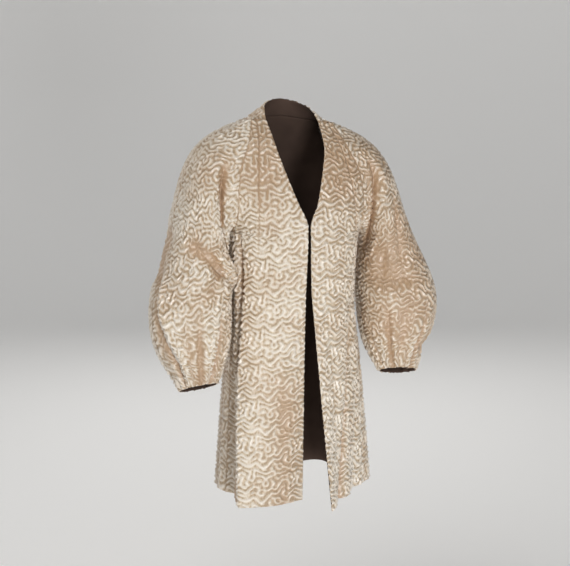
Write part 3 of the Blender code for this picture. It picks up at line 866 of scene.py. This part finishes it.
def sleeve_surface(side, back):
    """Rows from the armhole to the cuff, columns from one long seam of the half to the other.

    A spline runs from each point of the armhole through the rings. Gives the points, where round
    the sleeve each lies, and how far folds move it.
    """
    rows, columns = SLEEVE_BACK_GRID if back else SLEEVE_FRONT_GRID
    share = graded(SLEEVE_HALF_GIRTH, columns)[0]
    turns = {}
    stops = {}
    for half in (False, True):
        turns[half] = share / 2 + (0.5 if half else 0.0)
        rings = [ring_points(ring, side, turns[half]) for ring in SLEEVE_RINGS]
        stops[half] = np.array([resample(armhole(side, half), share)] + rings)
    every = np.concatenate([stops[False], stops[True]], axis=1)
    lengths = np.linalg.norm(np.diff(every, axis=0), axis=2).mean(axis=1)
    knots = np.concatenate([[0.0], np.cumsum(lengths)]) / lengths.sum()
    reaches = graded(lengths.sum(), rows)[0]
    points = natural_spline(knots, stops[back], reaches)
    middles = natural_spline(knots, every.mean(axis=1), reaches)
    away = points - middles[:, None, :]
    away /= np.linalg.norm(away, axis=2, keepdims=True)
    turn = turns[back][None, :]
    reach = reaches[:, None]
    girth = 2 * running(points, 1)[:, -1:]
    moved = sleeve_offset(side, turn, reach, girth, lengths.sum())
    return points + away * moved[..., None], turn, moved


def band_surface():
    """Rows from the sewn edge up to the free edge, columns from the right front round to the left.

    The free edge is a spline through five points; straight lines join it to the sewn edge.
    """
    sewn = {}
    stops = {}
    for side, _ in SIDES:
        sewn[side] = np.concatenate([neck_line(side, False), neck_line(side, True)[1:]])
        end = body_point(side, edge_angle(side, FRONT_SEAM_TOP), FRONT_SEAM_TOP)
        stops[side] = [end, np.array(BAND_SIDE) * [side, 1, 1]]
    outer = outer_angle(np.array([BACK_SEAM_TOP]), True)[0]
    around = np.linspace(outer, 360 - outer, NECKLINE_SAMPLES)
    neckline = body_point(*halves(around), BACK_SEAM_TOP)
    edge = np.concatenate([sewn[RIGHT], neckline[1:-1], sewn[LEFT][::-1]])
    share = graded(running(edge, 0)[-1], BAND_GRID[1])[0]
    low = resample(edge, share)
    stops = np.array([*stops[RIGHT], BAND_BACK, *stops[LEFT][::-1]])
    free = natural_spline(shares_of(stops), stops, share)
    rise = graded(BAND_HEIGHT, BAND_GRID[0])[0][:, None, None]
    return low + (free - low) * rise


def outward(points, sign):
    """Unit normals of a grid: the cross product of its column and row directions."""
    across = np.gradient(points, axis=1)
    down = np.gradient(points, axis=0)
    normal = np.cross(across, down) * sign
    return normal / np.linalg.norm(normal, axis=2, keepdims=True)


def lay_flat(points):
    """Place of each point on the flat cloth, in metres, across and down.

    Starts from the lengths along rows and columns, then moves a coarse grid until its edges and
    diagonals have the lengths they have on the worn piece; splines carry that to the fine grid.
    """
    rows, columns = points.shape[:2]
    row = np.linspace(0, rows - 1, min(FLAT_GRID[0], rows // FLAT_STRIDE + 1)).round().astype(int)
    col = np.linspace(0, columns - 1, min(FLAT_GRID[1], columns // FLAT_STRIDE + 1)).round().astype(int)
    pick = np.ix_(row, col)
    across = running(points, 1)[pick]
    down = running(points, 0)[pick]
    coarse = points[pick]
    middle = len(col) // 2
    flat = np.stack([across - across[:, middle:middle + 1], down - down[-1:, :]], axis=-1)
    links = [
        (np.s_[:, :-1], np.s_[:, 1:], np.diff(across, axis=1)),
        (np.s_[:-1, :], np.s_[1:, :], np.diff(down, axis=0)),
        (np.s_[:-1, :-1], np.s_[1:, 1:], np.linalg.norm(coarse[1:, 1:] - coarse[:-1, :-1], axis=2)),
        (np.s_[:-1, 1:], np.s_[1:, :-1], np.linalg.norm(coarse[1:, :-1] - coarse[:-1, 1:], axis=2)),
    ]
    for _ in range(FLAT_STEPS):
        move = np.zeros_like(flat)
        for first, second, rest in links:
            run = flat[second] - flat[first]
            now = np.linalg.norm(run, axis=2)
            pull = (0.5 * (now - rest) / np.maximum(now, 1e-9))[..., None] * run
            move[first] += pull
            move[second] -= pull
        flat += FLAT_PULL * move
    fine = natural_spline(row.astype(float), flat, np.arange(rows, dtype=float))
    fine = natural_spline(col.astype(float), fine.swapaxes(0, 1), np.arange(columns, dtype=float))
    return fine.swapaxes(0, 1)


def soft_noise(random, shape, size, wave_down, wave_across):
    """Periodic noise of one wavelength each way: white noise times a ring of its frequencies.

    It is divided by its own spread, so that its spread is 1.
    """
    freq_y = np.fft.fftfreq(shape[0], size[0] / shape[0])[:, None] * wave_down
    freq_x = np.fft.fftfreq(shape[1], size[1] / shape[1])[None, :] * wave_across
    ring = np.hypot(freq_x, freq_y)
    keep = np.exp(-((ring - NOISE_RING) / NOISE_SPREAD) ** 2) * (ring > 0)
    field = np.real(np.fft.ifft2(np.fft.fft2(random.normal(0, 1, shape)) * keep))
    return field / field.std()


def read_tile(tile, size, across, along):
    """Value of a periodic tile at places on the cloth, by straight interpolation both ways."""
    rows, columns = tile.shape
    x = across / size[1] * columns
    y = along / size[0] * rows
    left = np.floor(x).astype(int)
    top = np.floor(y).astype(int)
    over = x - left
    down = y - top
    right = (left + 1) % columns
    low = (top + 1) % rows
    left = left % columns
    top = top % rows
    upper = tile[top, left] * (1 - over) + tile[top, right] * over
    lower = tile[low, left] * (1 - over) + tile[low, right] * over
    return upper * (1 - down) + lower * down


def quilt_tile(pitch):
    """One repeat of the meandering quilting, from -1 on the stitched lines to 1 on the ridges.

    Begins as level waves, too few for the height, that noise pushes up and down. Steps of pattern
    growth follow: waves of the wanted pitch grow, others fade, a cube holds the height and a square
    joins the hollows into lines. Since the lines start too far apart, they take up the room by
    wriggling. The wave is then divided by its own blurred strength, slow noise pulls some lines in
    less than others, and the whole is read where a last noise has moved it, so the spacing varies.
    """
    size = (REPEAT_DOWN * pitch, REPEAT_ACROSS * pitch)
    shape = (REPEAT_DOWN * PITCH_POINTS, REPEAT_ACROSS * PITCH_POINTS)
    random = np.random.default_rng(QUILT_SEED)

    def noise(down, across):
        """Soft noise of one repeat, its wavelengths in pitches."""
        return soft_noise(random, shape, size, down * pitch, across * pitch)

    phase = (np.arange(shape[0]) / shape[0] * FIRST_LINES)[:, None]
    phase = phase + FIRST_PUSH * noise(4.0, 2.6)
    phase = phase + FIRST_PUSH * noise(2.6, 3.0)
    field = np.sin(2 * np.pi * phase)
    freq_y = np.fft.fftfreq(shape[0], REPEAT_DOWN / shape[0])[:, None]
    freq_x = np.fft.fftfreq(shape[1], REPEAT_ACROSS / shape[1])[None, :]
    square = freq_x ** 2 + freq_y ** 2
    growth = GROWTH_RATE - (1 - square) ** 2
    for _ in range(GROWTH_STEPS):
        push = np.fft.fft2(field ** 3 - HOLLOW_JOIN * field ** 2)
        grown = (np.fft.fft2(field) - GROWTH_STEP * push) / (1 - GROWTH_STEP * growth)
        field = np.real(np.fft.ifft2(grown))
    field = field - field.mean()
    blur = np.exp(-2 * (STRENGTH_BLUR * np.pi) ** 2 * square)
    strength = np.sqrt(2 * np.real(np.fft.ifft2(np.fft.fft2(field ** 2) * blur)))
    pulled = np.clip(PULL_MEAN + PULL_SPREAD * noise(2.4, 2.4), PULL_LEAST, 1.0)
    even = 1 - (1 - np.clip(field / strength, -1, 1)) * pulled
    across = np.arange(shape[1]) / shape[1] * size[1] + SPACING_SHIFT * pitch * noise(3, 3)
    along = (np.arange(shape[0]) / shape[0] * size[0])[:, None] + SPACING_SHIFT * pitch * noise(3, 3)
    return read_tile(even, size, across, along), size


def quilt_wave(cloth, name, flat):
    """The quilting at each point of a piece, 0 along the stitches and 1 on top of the ridges."""
    tile, size = quilt_tile(cloth.quilt_pitch)
    cut = next(row for row in CUTS if row.piece == name)
    return (read_tile(tile, size, flat[..., 0] + cut.across, flat[..., 1] + cut.along) + 1) / 2


def tan_and_shade_places(name, points):
    """How tan the cloth of a piece is, by stains and by painted shade: a bell curve at each of its tan
    places, added up.
    """
    total = np.zeros(points.shape[:2])
    for tone in TAN_AND_SHADE_PLACES:
        if tone.piece == name:
            across = (points[..., 0] - tone.across) / tone.half_width
            up = (points[..., 2] - tone.height) / tone.half_height
            total += tone.strength * np.exp(-across ** 2 - up ** 2)
    return total


def rim_faces(outer, inner):
    """Triangles between a fine loop and a coarse one that has every fourth of its points.

    Each fine edge joins the nearest coarse point, and each coarse edge the fine point in its middle.
    """
    count = len(outer)
    fine = np.arange(count)
    ahead = np.roll(outer, -1)
    near = inner[((fine + LINING_STRIDE // 2) // LINING_STRIDE) % len(inner)]
    small = np.stack([outer, near, ahead], axis=1)
    half = outer[np.arange(len(inner)) * LINING_STRIDE + LINING_STRIDE // 2]
    large = np.stack([half, inner, np.roll(inner, -1)], axis=1)
    return np.concatenate([small, large])


def border(index):
    """Indices round a grid, without repeating a corner."""
    return np.concatenate([index[0, :-1], index[:-1, -1], index[-1, :0:-1], index[:0:-1, 0]])


def grid_faces(index):
    """Quads of a grid of indices, wound column first."""
    quads = np.stack([index[:-1, :-1], index[:-1, 1:], index[1:, 1:], index[1:, :-1]], axis=-1)
    return quads.reshape(-1, 4)


def closed_sheet(name, points, lining, quilt, tone, flat, sign):
    """Object from a fine outer grid and a coarse inner one, joined by a rim of lining all round."""
    rows, columns = points.shape[:2]
    index = np.arange(rows * columns).reshape(rows, columns)
    start = rows * columns
    small_rows, small_columns = lining.shape[:2]
    inside = start + np.arange(small_rows * small_columns).reshape(small_rows, small_columns)
    outer_quads = grid_faces(index)
    inner_quads = grid_faces(inside)[:, ::-1]
    rim = rim_faces(border(index), border(inside))
    if sign < 0:
        outer_quads = outer_quads[:, ::-1]
        inner_quads = inner_quads[:, ::-1]
        rim = rim[:, ::-1]
    quads = np.concatenate([outer_quads, inner_quads])
    corners = np.concatenate([quads.ravel(), rim.ravel()])
    starts = np.concatenate([np.arange(len(quads)) * 4, len(quads) * 4 + np.arange(len(rim)) * 3])
    places = np.concatenate([points.reshape(-1, 3), lining.reshape(-1, 3)])
    mesh = bpy.data.meshes.new(name)
    mesh.vertices.add(len(places))
    mesh.vertices.foreach_set("co", places.astype(np.float32).ravel())
    mesh.loops.add(len(corners))
    mesh.loops.foreach_set("vertex_index", corners.astype(np.int32))
    mesh.polygons.add(len(starts))
    mesh.polygons.foreach_set("loop_start", starts.astype(np.int32))
    # Inner faces and rims take the lining material, whose dark colour is painted shade inside the coat
    # and along its turned edges
    slots = np.zeros(len(starts), np.int32)
    slots[len(outer_quads):] = 1
    mesh.polygons.foreach_set("material_index", slots)
    mesh.polygons.foreach_set("use_smooth", np.ones(len(starts), bool))
    pick = np.ix_(np.arange(0, rows, LINING_STRIDE), np.arange(0, columns, LINING_STRIDE))
    cloth = np.concatenate([flat.reshape(-1, 2), flat[pick].reshape(-1, 2)])
    layer = mesh.uv_layers.new(name="cloth")
    layer.uv.foreach_set("vector", cloth[corners].astype(np.float32).ravel())
    # The second value is tan and painted shade, which the satin's colour reads
    for label, values in (("quilt", quilt), ("tone", tone)):
        stored = mesh.attributes.new(label, "FLOAT", "POINT")
        both = np.concatenate([values.ravel(), values[pick].ravel()])
        stored.data.foreach_set("value", both.astype(np.float32))
    mesh.update(calc_edges=True)
    if mesh.validate():
        raise RuntimeError(f"the mesh of {name} had faults")
    piece = bpy.data.objects.new(name, mesh)
    bpy.context.scene.collection.objects.link(piece)
    return piece


def nearby(field, down, over):
    """Every fourth point of a grid, each read some rows down and some columns over from its place."""
    rows, columns = field.shape[:2]
    picked_rows = np.clip(np.arange(0, rows, LINING_STRIDE) + down, 0, rows - 1)
    picked_columns = np.clip(np.arange(0, columns, LINING_STRIDE) + over, 0, columns - 1)
    return field[np.ix_(picked_rows, picked_columns)]


def inner_face(surface, normal, wall):
    """Coarse inner face: every fourth point, moved in by the wall along the mean normal nearby.

    It also moves in by as much as the cloth nearby dips below the point, so no trough cuts into it.
    """
    reach = range(-LINING_STRIDE, LINING_STRIDE + 1)
    steps = [(down, over) for down in reach for over in reach]
    here = nearby(surface, 0, 0)
    broad = sum(nearby(normal, *step) for step in steps)
    broad /= np.linalg.norm(broad, axis=2, keepdims=True)
    dip = np.max([((here - nearby(surface, *step)) * broad).sum(axis=2) for step in steps], axis=0)
    for edge in (dip[0], dip[-1], dip[:, 0], dip[:, -1]):
        edge[:] = np.minimum(edge, EDGE_DIP)
    return here - broad * (wall + dip)[..., None]


def make_piece(cloth, node, points, moved, sign, sewn, groove=0.0, shift=None):
    """One cut piece: quilting, seams and turned edges are moves along the normal of its surface.

    moved is how far folds have moved each point. sewn names the edges that are seams; the others
    are turned edges. A seam is a bell curve inwards, and a turned edge a quarter circle. The line
    of a seam itself is not moved, so that both pieces meet on it. groove is more depth, such as a
    dart's, and shift moves the quilting on the flat cloth where some of it is taken in. The
    quilting lies flatter at seams, darts, troughs, deep folds and tan places.
    """
    surface = settle(points)
    normal = outward(surface, sign)
    flat = lay_flat(surface)
    printed = flat if shift is None else flat + shift
    quilt = quilt_wave(cloth, node, printed)
    across = running(surface, 1)
    down = running(surface, 0)
    edges = {
        "first_row": down,
        "last_row": down[-1:] - down,
        "first_column": across,
        "last_column": across[:, -1:] - across,
    }
    seam = np.zeros(quilt.shape)
    turned = np.zeros(quilt.shape)
    shared = np.ones(quilt.shape)
    for name, distance in edges.items():
        if name in sewn:
            seam = np.maximum(seam, np.exp(-(distance / cloth.seam_width) ** 2))
            shared = np.minimum(shared, 1 - np.exp(-(distance / SEAM_LINE) ** 2))
        else:
            short = np.clip(cloth.edge_round - distance, 0, cloth.edge_round)
            turned = np.maximum(turned, cloth.edge_round - np.sqrt(cloth.edge_round ** 2 - short ** 2))
    pressed = np.broadcast_to(-np.asarray(groove) / DART_DEPTH, quilt.shape)
    trough = np.clip(-moved / TROUGH_DEPTH, 0, 1)
    deep = np.clip(-moved / DEEP_FOLD, 0, 1)
    tan = tan_and_shade_places(node, surface)
    calmed = (
        (CALM_SEAM, seam), (CALM_DART, pressed), (CALM_TROUGH, trough), (CALM_DEEP, deep),
        (CALM_TAN, np.clip(tan, 0, 1)))
    relief = (quilt ** RIDGE_POWER - RIDGE_LEVEL) * cloth.ridge_height
    # Seams, darts, troughs and tan places flatten the relief and take painted highlight off the ridges
    for calm, share in calmed:
        relief = relief * (1 - calm.flatter * share)
        quilt = quilt * (1 - calm.duller * share)
    lift = relief - cloth.seam_depth * seam - turned + groove
    lift = np.maximum(lift, LEAST_WALL - cloth.wall) * shared
    outer = surface + normal * lift[..., None]
    lining = inner_face(surface, normal, cloth.wall)
    # How tan each point is: painted shade in troughs, the tan places, and painted shade in the grooves
    # of seams and darts
    tone = np.clip(TROUGH_PAINTED_SHADE * trough + tan + STITCHED_PAINTED_SHADE * (pressed + seam), 0, 1)
    piece = closed_sheet(node + "_satin", outer, lining, quilt, tone, printed, sign)
    piece.data.materials.append(quilted_material(cloth))
    piece.data.materials.append(lining_material(cloth))
    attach(piece, "root")
    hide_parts(node)


def new_material(name):
    """Material with a Principled shader; gives the material, its tree and the shader."""
    material = bpy.data.materials.new(name)
    material.use_nodes = True
    tree = material.node_tree
    return material, tree, tree.nodes["Principled BSDF"]


def fill_inputs(tree, node, inputs):
    """Fills a node's inputs: an output of another node is joined, and any other value is set."""
    for name, value in inputs.items():
        if isinstance(value, bpy.types.NodeSocket):
            tree.links.new(value, node.inputs[name])
        else:
            node.inputs[name].default_value = value


def add_node(tree, kind, inputs, **settings):
    """New shader node with its settings and inputs."""
    node = tree.nodes.new("ShaderNode" + kind)
    for name, value in settings.items():
        setattr(node, name, value)
    fill_inputs(tree, node, inputs)
    return node


def cloth_noise(tree, across, along, detail):
    """Noise on the flat cloth, with its own number of waves a metre across and along."""
    cloth = add_node(tree, "UVMap", {}, uv_map="cloth")
    waves = {"Vector": cloth.outputs["UV"], "Scale": (across, along, 1.0)}
    mapping = add_node(tree, "Mapping", waves)
    inputs = {"Vector": mapping.outputs["Vector"], "Scale": 1.0, "Detail": detail}
    return add_node(tree, "TexNoise", inputs).outputs["Fac"]


def place_noise(tree, scale, detail):
    """Noise in the piece's own space, with the same number of waves a metre each way."""
    place = add_node(tree, "TexCoord", {})
    inputs = {"Vector": place.outputs["Object"], "Scale": scale, "Detail": detail}
    return add_node(tree, "TexNoise", inputs).outputs["Fac"]


def stored_value(tree, name):
    """A value that the mesh holds at each of its points."""
    return add_node(tree, "Attribute", {}, attribute_name=name).outputs["Fac"]


def add_bump(tree, height, strength, depth, under=None):
    """Bump from a height, on top of another bump if there is one."""
    inputs = {"Strength": strength, "Distance": depth, "Height": height}
    if under is not None:
        inputs["Normal"] = under
    return add_node(tree, "Bump", inputs).outputs["Normal"]


def add_range(tree, value, known, wanted):
    """A value carried evenly from a known range to a wanted one and held at its ends."""
    names = ("From Min", "From Max", "To Min", "To Max")
    inputs = {"Value": value, **dict(zip(names, (*known, *wanted)))}
    return add_node(tree, "MapRange", inputs).outputs["Result"]


def add_math(tree, operation, values, clamp=False):
    """Two values added, or a product with a third value added; held between 0 and 1 if clamp is set."""
    inputs = dict(enumerate(values))
    return add_node(tree, "Math", inputs, operation=operation, use_clamp=clamp).outputs["Value"]


def moved_by(tree, value, noise, most):
    """A value with noise added to it, up to most either way."""
    return add_math(tree, "ADD", (value, add_range(tree, noise, NOISE_RANGE, (-most, most))))


def add_ramp(tree, factor, stops):
    """Colours joined evenly from stop to stop; each stop is a place from 0 to 1 and its colour."""
    ramp = add_node(tree, "ValToRGB", {"Fac": factor})
    elements = ramp.color_ramp.elements
    elements[0].position = stops[0][0]
    elements[1].position = stops[-1][0]
    for place, _ in stops[1:-1]:
        elements.new(place)
    for element, (_, colour) in zip(elements, stops):
        element.color = (*colour, 1.0)
    return ramp.outputs["Color"]


def quilted_material(cloth):
    """Champagne satin: cream painted on the ridges as highlight, tan painted along the stitches as
    shade, toned a little by age.

    Fine noise frays the sides of the ridges and slow noise lets the lines fade in and out. Tan
    places and the painted shade of troughs, seams and darts mix in a duller ramp, with thinner ridges.
    Puckers run across the ridges and fine threads along the cloth. The gloss is spread across the
    threads, so the satin shines most where it hangs upright.
    """
    known = bpy.data.materials.get("champagne_quilting")
    if known:
        return known
    material, tree, shader = new_material("champagne_quilting")
    ridge = np.array(cloth.ridge_highlight_colour)
    tan = np.array(cloth.tan_colour)
    puckers = add_bump(tree, cloth_noise(tree, *PUCKER_NOISE), *PUCKER_BUMP)
    threads = add_bump(tree, cloth_noise(tree, *THREAD_NOISE), *THREAD_BUMP, puckers)
    quilt = stored_value(tree, "quilt")
    ragged = moved_by(tree, quilt, cloth_noise(tree, *FRAY_NOISE), FRAY)
    faded = moved_by(tree, ragged, cloth_noise(tree, *FADE_NOISE), FADE)
    age = add_range(tree, place_noise(tree, *AGE_NOISE), AGE_RANGE, AGE_TAN)
    tone = add_math(tree, "ADD", (age, stored_value(tree, "tone")), True)
    thinned = add_math(tree, "MULTIPLY_ADD", (tone, TAN_THINNING, faded))
    # Painted highlight on the crests and ridges, painted shade along the stitched hollows
    bright = add_ramp(tree, thinned, (
        (0.05, cloth.valley_shade_colour),
        (0.26, cloth.slope_colour),
        (0.50, ridge * BAND_TINT),
        (0.90, ridge * CREST_HIGHLIGHT_TINT)))
    # Tan for stains and for painted shade in troughs, seams, darts and on the chest
    dull = add_ramp(tree, thinned, (
        (0.02, tan * DULL_VALLEY_SHADE),
        (0.30, tan),
        (0.74, ridge * DULL_RIDGE_TINT)))
    toned = add_node(tree, "MixRGB", {"Fac": tone, "Color1": bright, "Color2": dull})
    rougher = (cloth.roughness + STITCH_ROUGHNESS, cloth.roughness)
    tangent = add_node(tree, "Tangent", {}, direction_type="UV_MAP", uv_map="cloth")
    fill_inputs(tree, shader, {
        "Base Color": toned.outputs["Color"],
        "Normal": threads,
        "Roughness": add_range(tree, quilt, (0.0, SMOOTH_FROM), rougher),
        "Tangent": tangent.outputs["Tangent"],
        "Anisotropic": 0.55,
        "IOR": 2.10,
        "Sheen Weight": 0.05,
        "Sheen Roughness": 0.45,
    })
    return material


def lining_material(cloth):
    """Plain lining: dull satin with fine threads and slight cloudiness, its dark brown painted shade of
    the coat's inside.
    """
    known = bpy.data.materials.get("lining_satin")
    if known:
        return known
    material, tree, shader = new_material("lining_satin")
    threads = cloth_noise(tree, *LINING_NOISE)
    dark, light = (np.array(cloth.lining_shade_colour) * shade for shade in LINING_SHADES)
    fill_inputs(tree, shader, {
        "Base Color": add_ramp(tree, place_noise(tree, *CLOUD_NOISE), ((0.30, dark), (0.70, light))),
        "Normal": add_bump(tree, threads, *LINING_BUMP),
        "Roughness": add_range(tree, threads, (0.0, 1.0), LINING_ROUGHNESS),
        "Specular IOR Level": 0.02,
    })
    return material


class COAT_OT_fronts(Operator):
    """Make the two fronts, each with its dart"""

    bl_idname = "coat.fronts"
    bl_label = "Fronts"

    def execute(self, context):
        cloth = context.scene.quilted_satin
        for side, word in SIDES:
            points, moved = front_surface(side)
            height = points[..., 2]
            aside = np.abs(points[..., 0]) - column(DARTS, word, height)
            fade = eased((height - DART_FOOT) / DART_FADE)
            groove = -DART_DEPTH * fade * np.exp(-(aside / DART_WIDTH) ** 2)
            shift = np.zeros(points.shape[:2] + (2,))
            taken = np.clip((height - DART_FOOT) / (FRONT_SEAM_TOP - DART_FOOT), 0, 1)
            shift[..., 0] = side * DART_INTAKE * taken * eased(aside / DART_STEP + 0.5)
            make_piece(cloth, f"front_{word}", points, moved, -side, FRONT_SEWN_EDGES,
                       groove, shift)
        return {"FINISHED"}


class COAT_OT_back(Operator):
    """Make the back"""

    bl_idname = "coat.back"
    bl_label = "Back"

    def execute(self, context):
        points, moved = back_surface()
        make_piece(context.scene.quilted_satin, "back", points, moved, 1, SEWN_EDGES)
        return {"FINISHED"}


class COAT_OT_sleeves(Operator):
    """Make the front and back halves of both sleeves, tucked in at the cuffs"""

    bl_idname = "coat.sleeves"
    bl_label = "Sleeves"

    def execute(self, context):
        cloth = context.scene.quilted_satin
        for side, word in SIDES:
            for back, half in ((False, "front"), (True, "back")):
                points, turn, moved = sleeve_surface(side, back)
                girth = 2 * running(points, 1)[:, -1:]
                taken = np.maximum.accumulate(girth, axis=0) - girth
                tucks = [tuck for tuck in TUCKS if tuck.side == side and (tuck.turn > 0.5) == back]
                shift = np.zeros(points.shape[:2] + (2,))
                share = taken / 2 / len(tucks)
                for tuck in tucks:
                    shift[..., 0] += share * eased((turn - tuck.turn) * girth / TUCK_STEP + 0.5)
                make_piece(cloth, f"sleeve_{half}_{word}", points, moved, -side, SEWN_EDGES,
                           0.0, shift)
        return {"FINISHED"}


class COAT_OT_neck_band(Operator):
    """Make the band that stands round the neck"""

    bl_idname = "coat.neck_band"
    bl_label = "Neck band"

    def execute(self, context):
        make_piece(context.scene.quilted_satin, "neck_band", band_surface(), np.zeros(BAND_GRID), -1,
                   SEWN_EDGES)
        return {"FINISHED"}


def area_light(light, place, power):
    """Soft rectangular light that faces the lit place; the camera doesn't see the light itself."""
    data = bpy.data.lights.new(light.name, "AREA")
    data.shape = "RECTANGLE"
    data.size, data.size_y = light.size
    data.energy = power
    data.color = light.colour
    data.spread = np.radians(light.spread)
    lamp = bpy.data.objects.new(light.name, data)
    lamp.location = place
    lamp.rotation_mode = "QUATERNION"
    lamp.rotation_quaternion = (Vector(LIT_PLACE) - Vector(place)).to_track_quat("-Z", "Y")
    lamp.visible_camera = False
    bpy.context.scene.collection.objects.link(lamp)


def floor_material(colour, glow):
    """Matt painted floor with a faint mottle, lit evenly as a studio sweep is."""
    material, tree, shader = new_material("pale_floor")
    shades = ((0.0, np.array(colour) * FLOOR_SHADE), (1.0, colour))
    paint = add_ramp(tree, place_noise(tree, *MOTTLE_NOISE), shades)
    fill_inputs(tree, shader, {
        "Base Color": paint,
        "Emission Color": paint,
        "Emission Strength": glow,
        "Roughness": 0.85,
    })
    return material


def make_floor(studio):
    """Floor with a swept rim: flat rings, a quarter circle up at the edge and a short wall."""
    around = np.linspace(0, 2 * np.pi, ROUND_STEPS, endpoint=False)
    bend = np.linspace(0, np.pi / 2, SWEEP_STEPS)
    reach = np.concatenate([FLOOR_RINGS, FLOOR_EDGE + SWEEP_RADIUS * np.sin(bend),
                            [FLOOR_EDGE + SWEEP_RADIUS]])
    rise = np.concatenate([np.zeros(len(FLOOR_RINGS)), SWEEP_RADIUS * (1 - np.cos(bend)),
                           [2 * SWEEP_RADIUS]])
    points = np.empty((len(reach), ROUND_STEPS, 3))
    points[..., 0] = reach[:, None] * np.cos(around)
    points[..., 1] = reach[:, None] * np.sin(around)
    points[..., 2] = rise[:, None] - studio.floor_drop
    index = np.arange(len(reach) * ROUND_STEPS).reshape(-1, ROUND_STEPS)
    closed = np.concatenate([index, index[:, :1]], axis=1)
    faces = grid_faces(closed)[:, ::-1].tolist() + [index[0].tolist()]
    mesh = bpy.data.meshes.new("floor")
    mesh.from_pydata(points.reshape(-1, 3).tolist(), [], faces)
    mesh.polygons.foreach_set("use_smooth", np.ones(len(faces), bool))
    mesh.materials.append(floor_material(studio.floor_colour, studio.floor_glow))
    floor = bpy.data.objects.new("floor", mesh)
    bpy.context.scene.collection.objects.link(floor)


def make_camera(studio, right, back):
    """Camera back from the neck along its turn, raised, stepped aside and pitched down."""
    pitch = studio.camera_pitch
    ahead = -back * np.cos(pitch) - np.array([0.0, 0.0, np.sin(pitch)])
    eye = back * studio.camera_distance - right * studio.camera_aside
    eye[2] = studio.camera_height
    data = bpy.data.cameras.new("camera")
    data.sensor_fit = "HORIZONTAL"
    data.sensor_width = SENSOR_WIDTH
    data.lens = studio.camera_lens
    camera = bpy.data.objects.new("camera", data)
    pose = np.eye(4)
    pose[:3] = np.stack([right, np.cross(right, ahead), -ahead, eye], axis=1)
    camera.matrix_world = Matrix(pose.tolist())
    bpy.context.scene.collection.objects.link(camera)
    bpy.context.scene.camera = camera


class COAT_OT_stage(Operator):
    """Make the floor, the lights and the camera"""

    bl_idname = "coat.stage"
    bl_label = "Stage"

    def execute(self, context):
        studio = context.scene.soft_studio
        turn = -studio.camera_turn
        right = np.array([np.cos(turn), np.sin(turn), 0.0])
        back = np.array([np.sin(turn), -np.cos(turn), 0.0])
        make_floor(studio)
        make_camera(studio, right, back)
        for light in LIGHTS:
            area_light(light, light.place, getattr(studio, light.power))
        across, behind, above = REAR_LIGHT.place
        rear = right * across - back * behind + [0.0, 0.0, above]
        area_light(REAR_LIGHT, rear, studio.rear_power)
        world = bpy.data.worlds.new("surround")
        world.use_nodes = True
        sky = world.node_tree.nodes["Background"]
        sky.inputs["Color"].default_value = SKY_COLOUR
        sky.inputs["Strength"].default_value = studio.surround
        context.scene.world = world
        context.scene.view_settings.view_transform = "Standard"
        return {"FINISHED"}


class COAT_PT_panel(Panel):
    """Pieces, cloth and stage of the coat"""

    bl_idname = "COAT_PT_panel"
    bl_label = "Evening coat"
    bl_space_type = "VIEW_3D"
    bl_region_type = "UI"
    bl_category = "Coat"

    def draw(self, context):
        for maker in MAKERS:
            self.layout.operator(maker.bl_idname)
        for group in (context.scene.quilted_satin, context.scene.soft_studio):
            box = self.layout.box()
            for name in group.__annotations__:
                box.prop(group, name)


MAKERS = (COAT_OT_fronts, COAT_OT_back, COAT_OT_sleeves, COAT_OT_neck_band, COAT_OT_stage)
CLASSES = (QuiltedSatin, SoftStudio, *MAKERS, COAT_PT_panel)


def register():
    """Adds the classes and the two groups of settings."""
    for made in CLASSES:
        bpy.utils.register_class(made)
    bpy.types.Scene.quilted_satin = PointerProperty(type=QuiltedSatin)
    bpy.types.Scene.soft_studio = PointerProperty(type=SoftStudio)


def unregister():
    """Takes them out again."""
    del bpy.types.Scene.soft_studio
    del bpy.types.Scene.quilted_satin
    for made in reversed(CLASSES):
        bpy.utils.unregister_class(made)


def main():
    """Makes every piece and the stage."""
    register()
    bpy.ops.coat.fronts()
    bpy.ops.coat.back()
    bpy.ops.coat.sleeves()
    bpy.ops.coat.neck_band()
    bpy.ops.coat.stage()


if __name__ == "__main__":
    main()
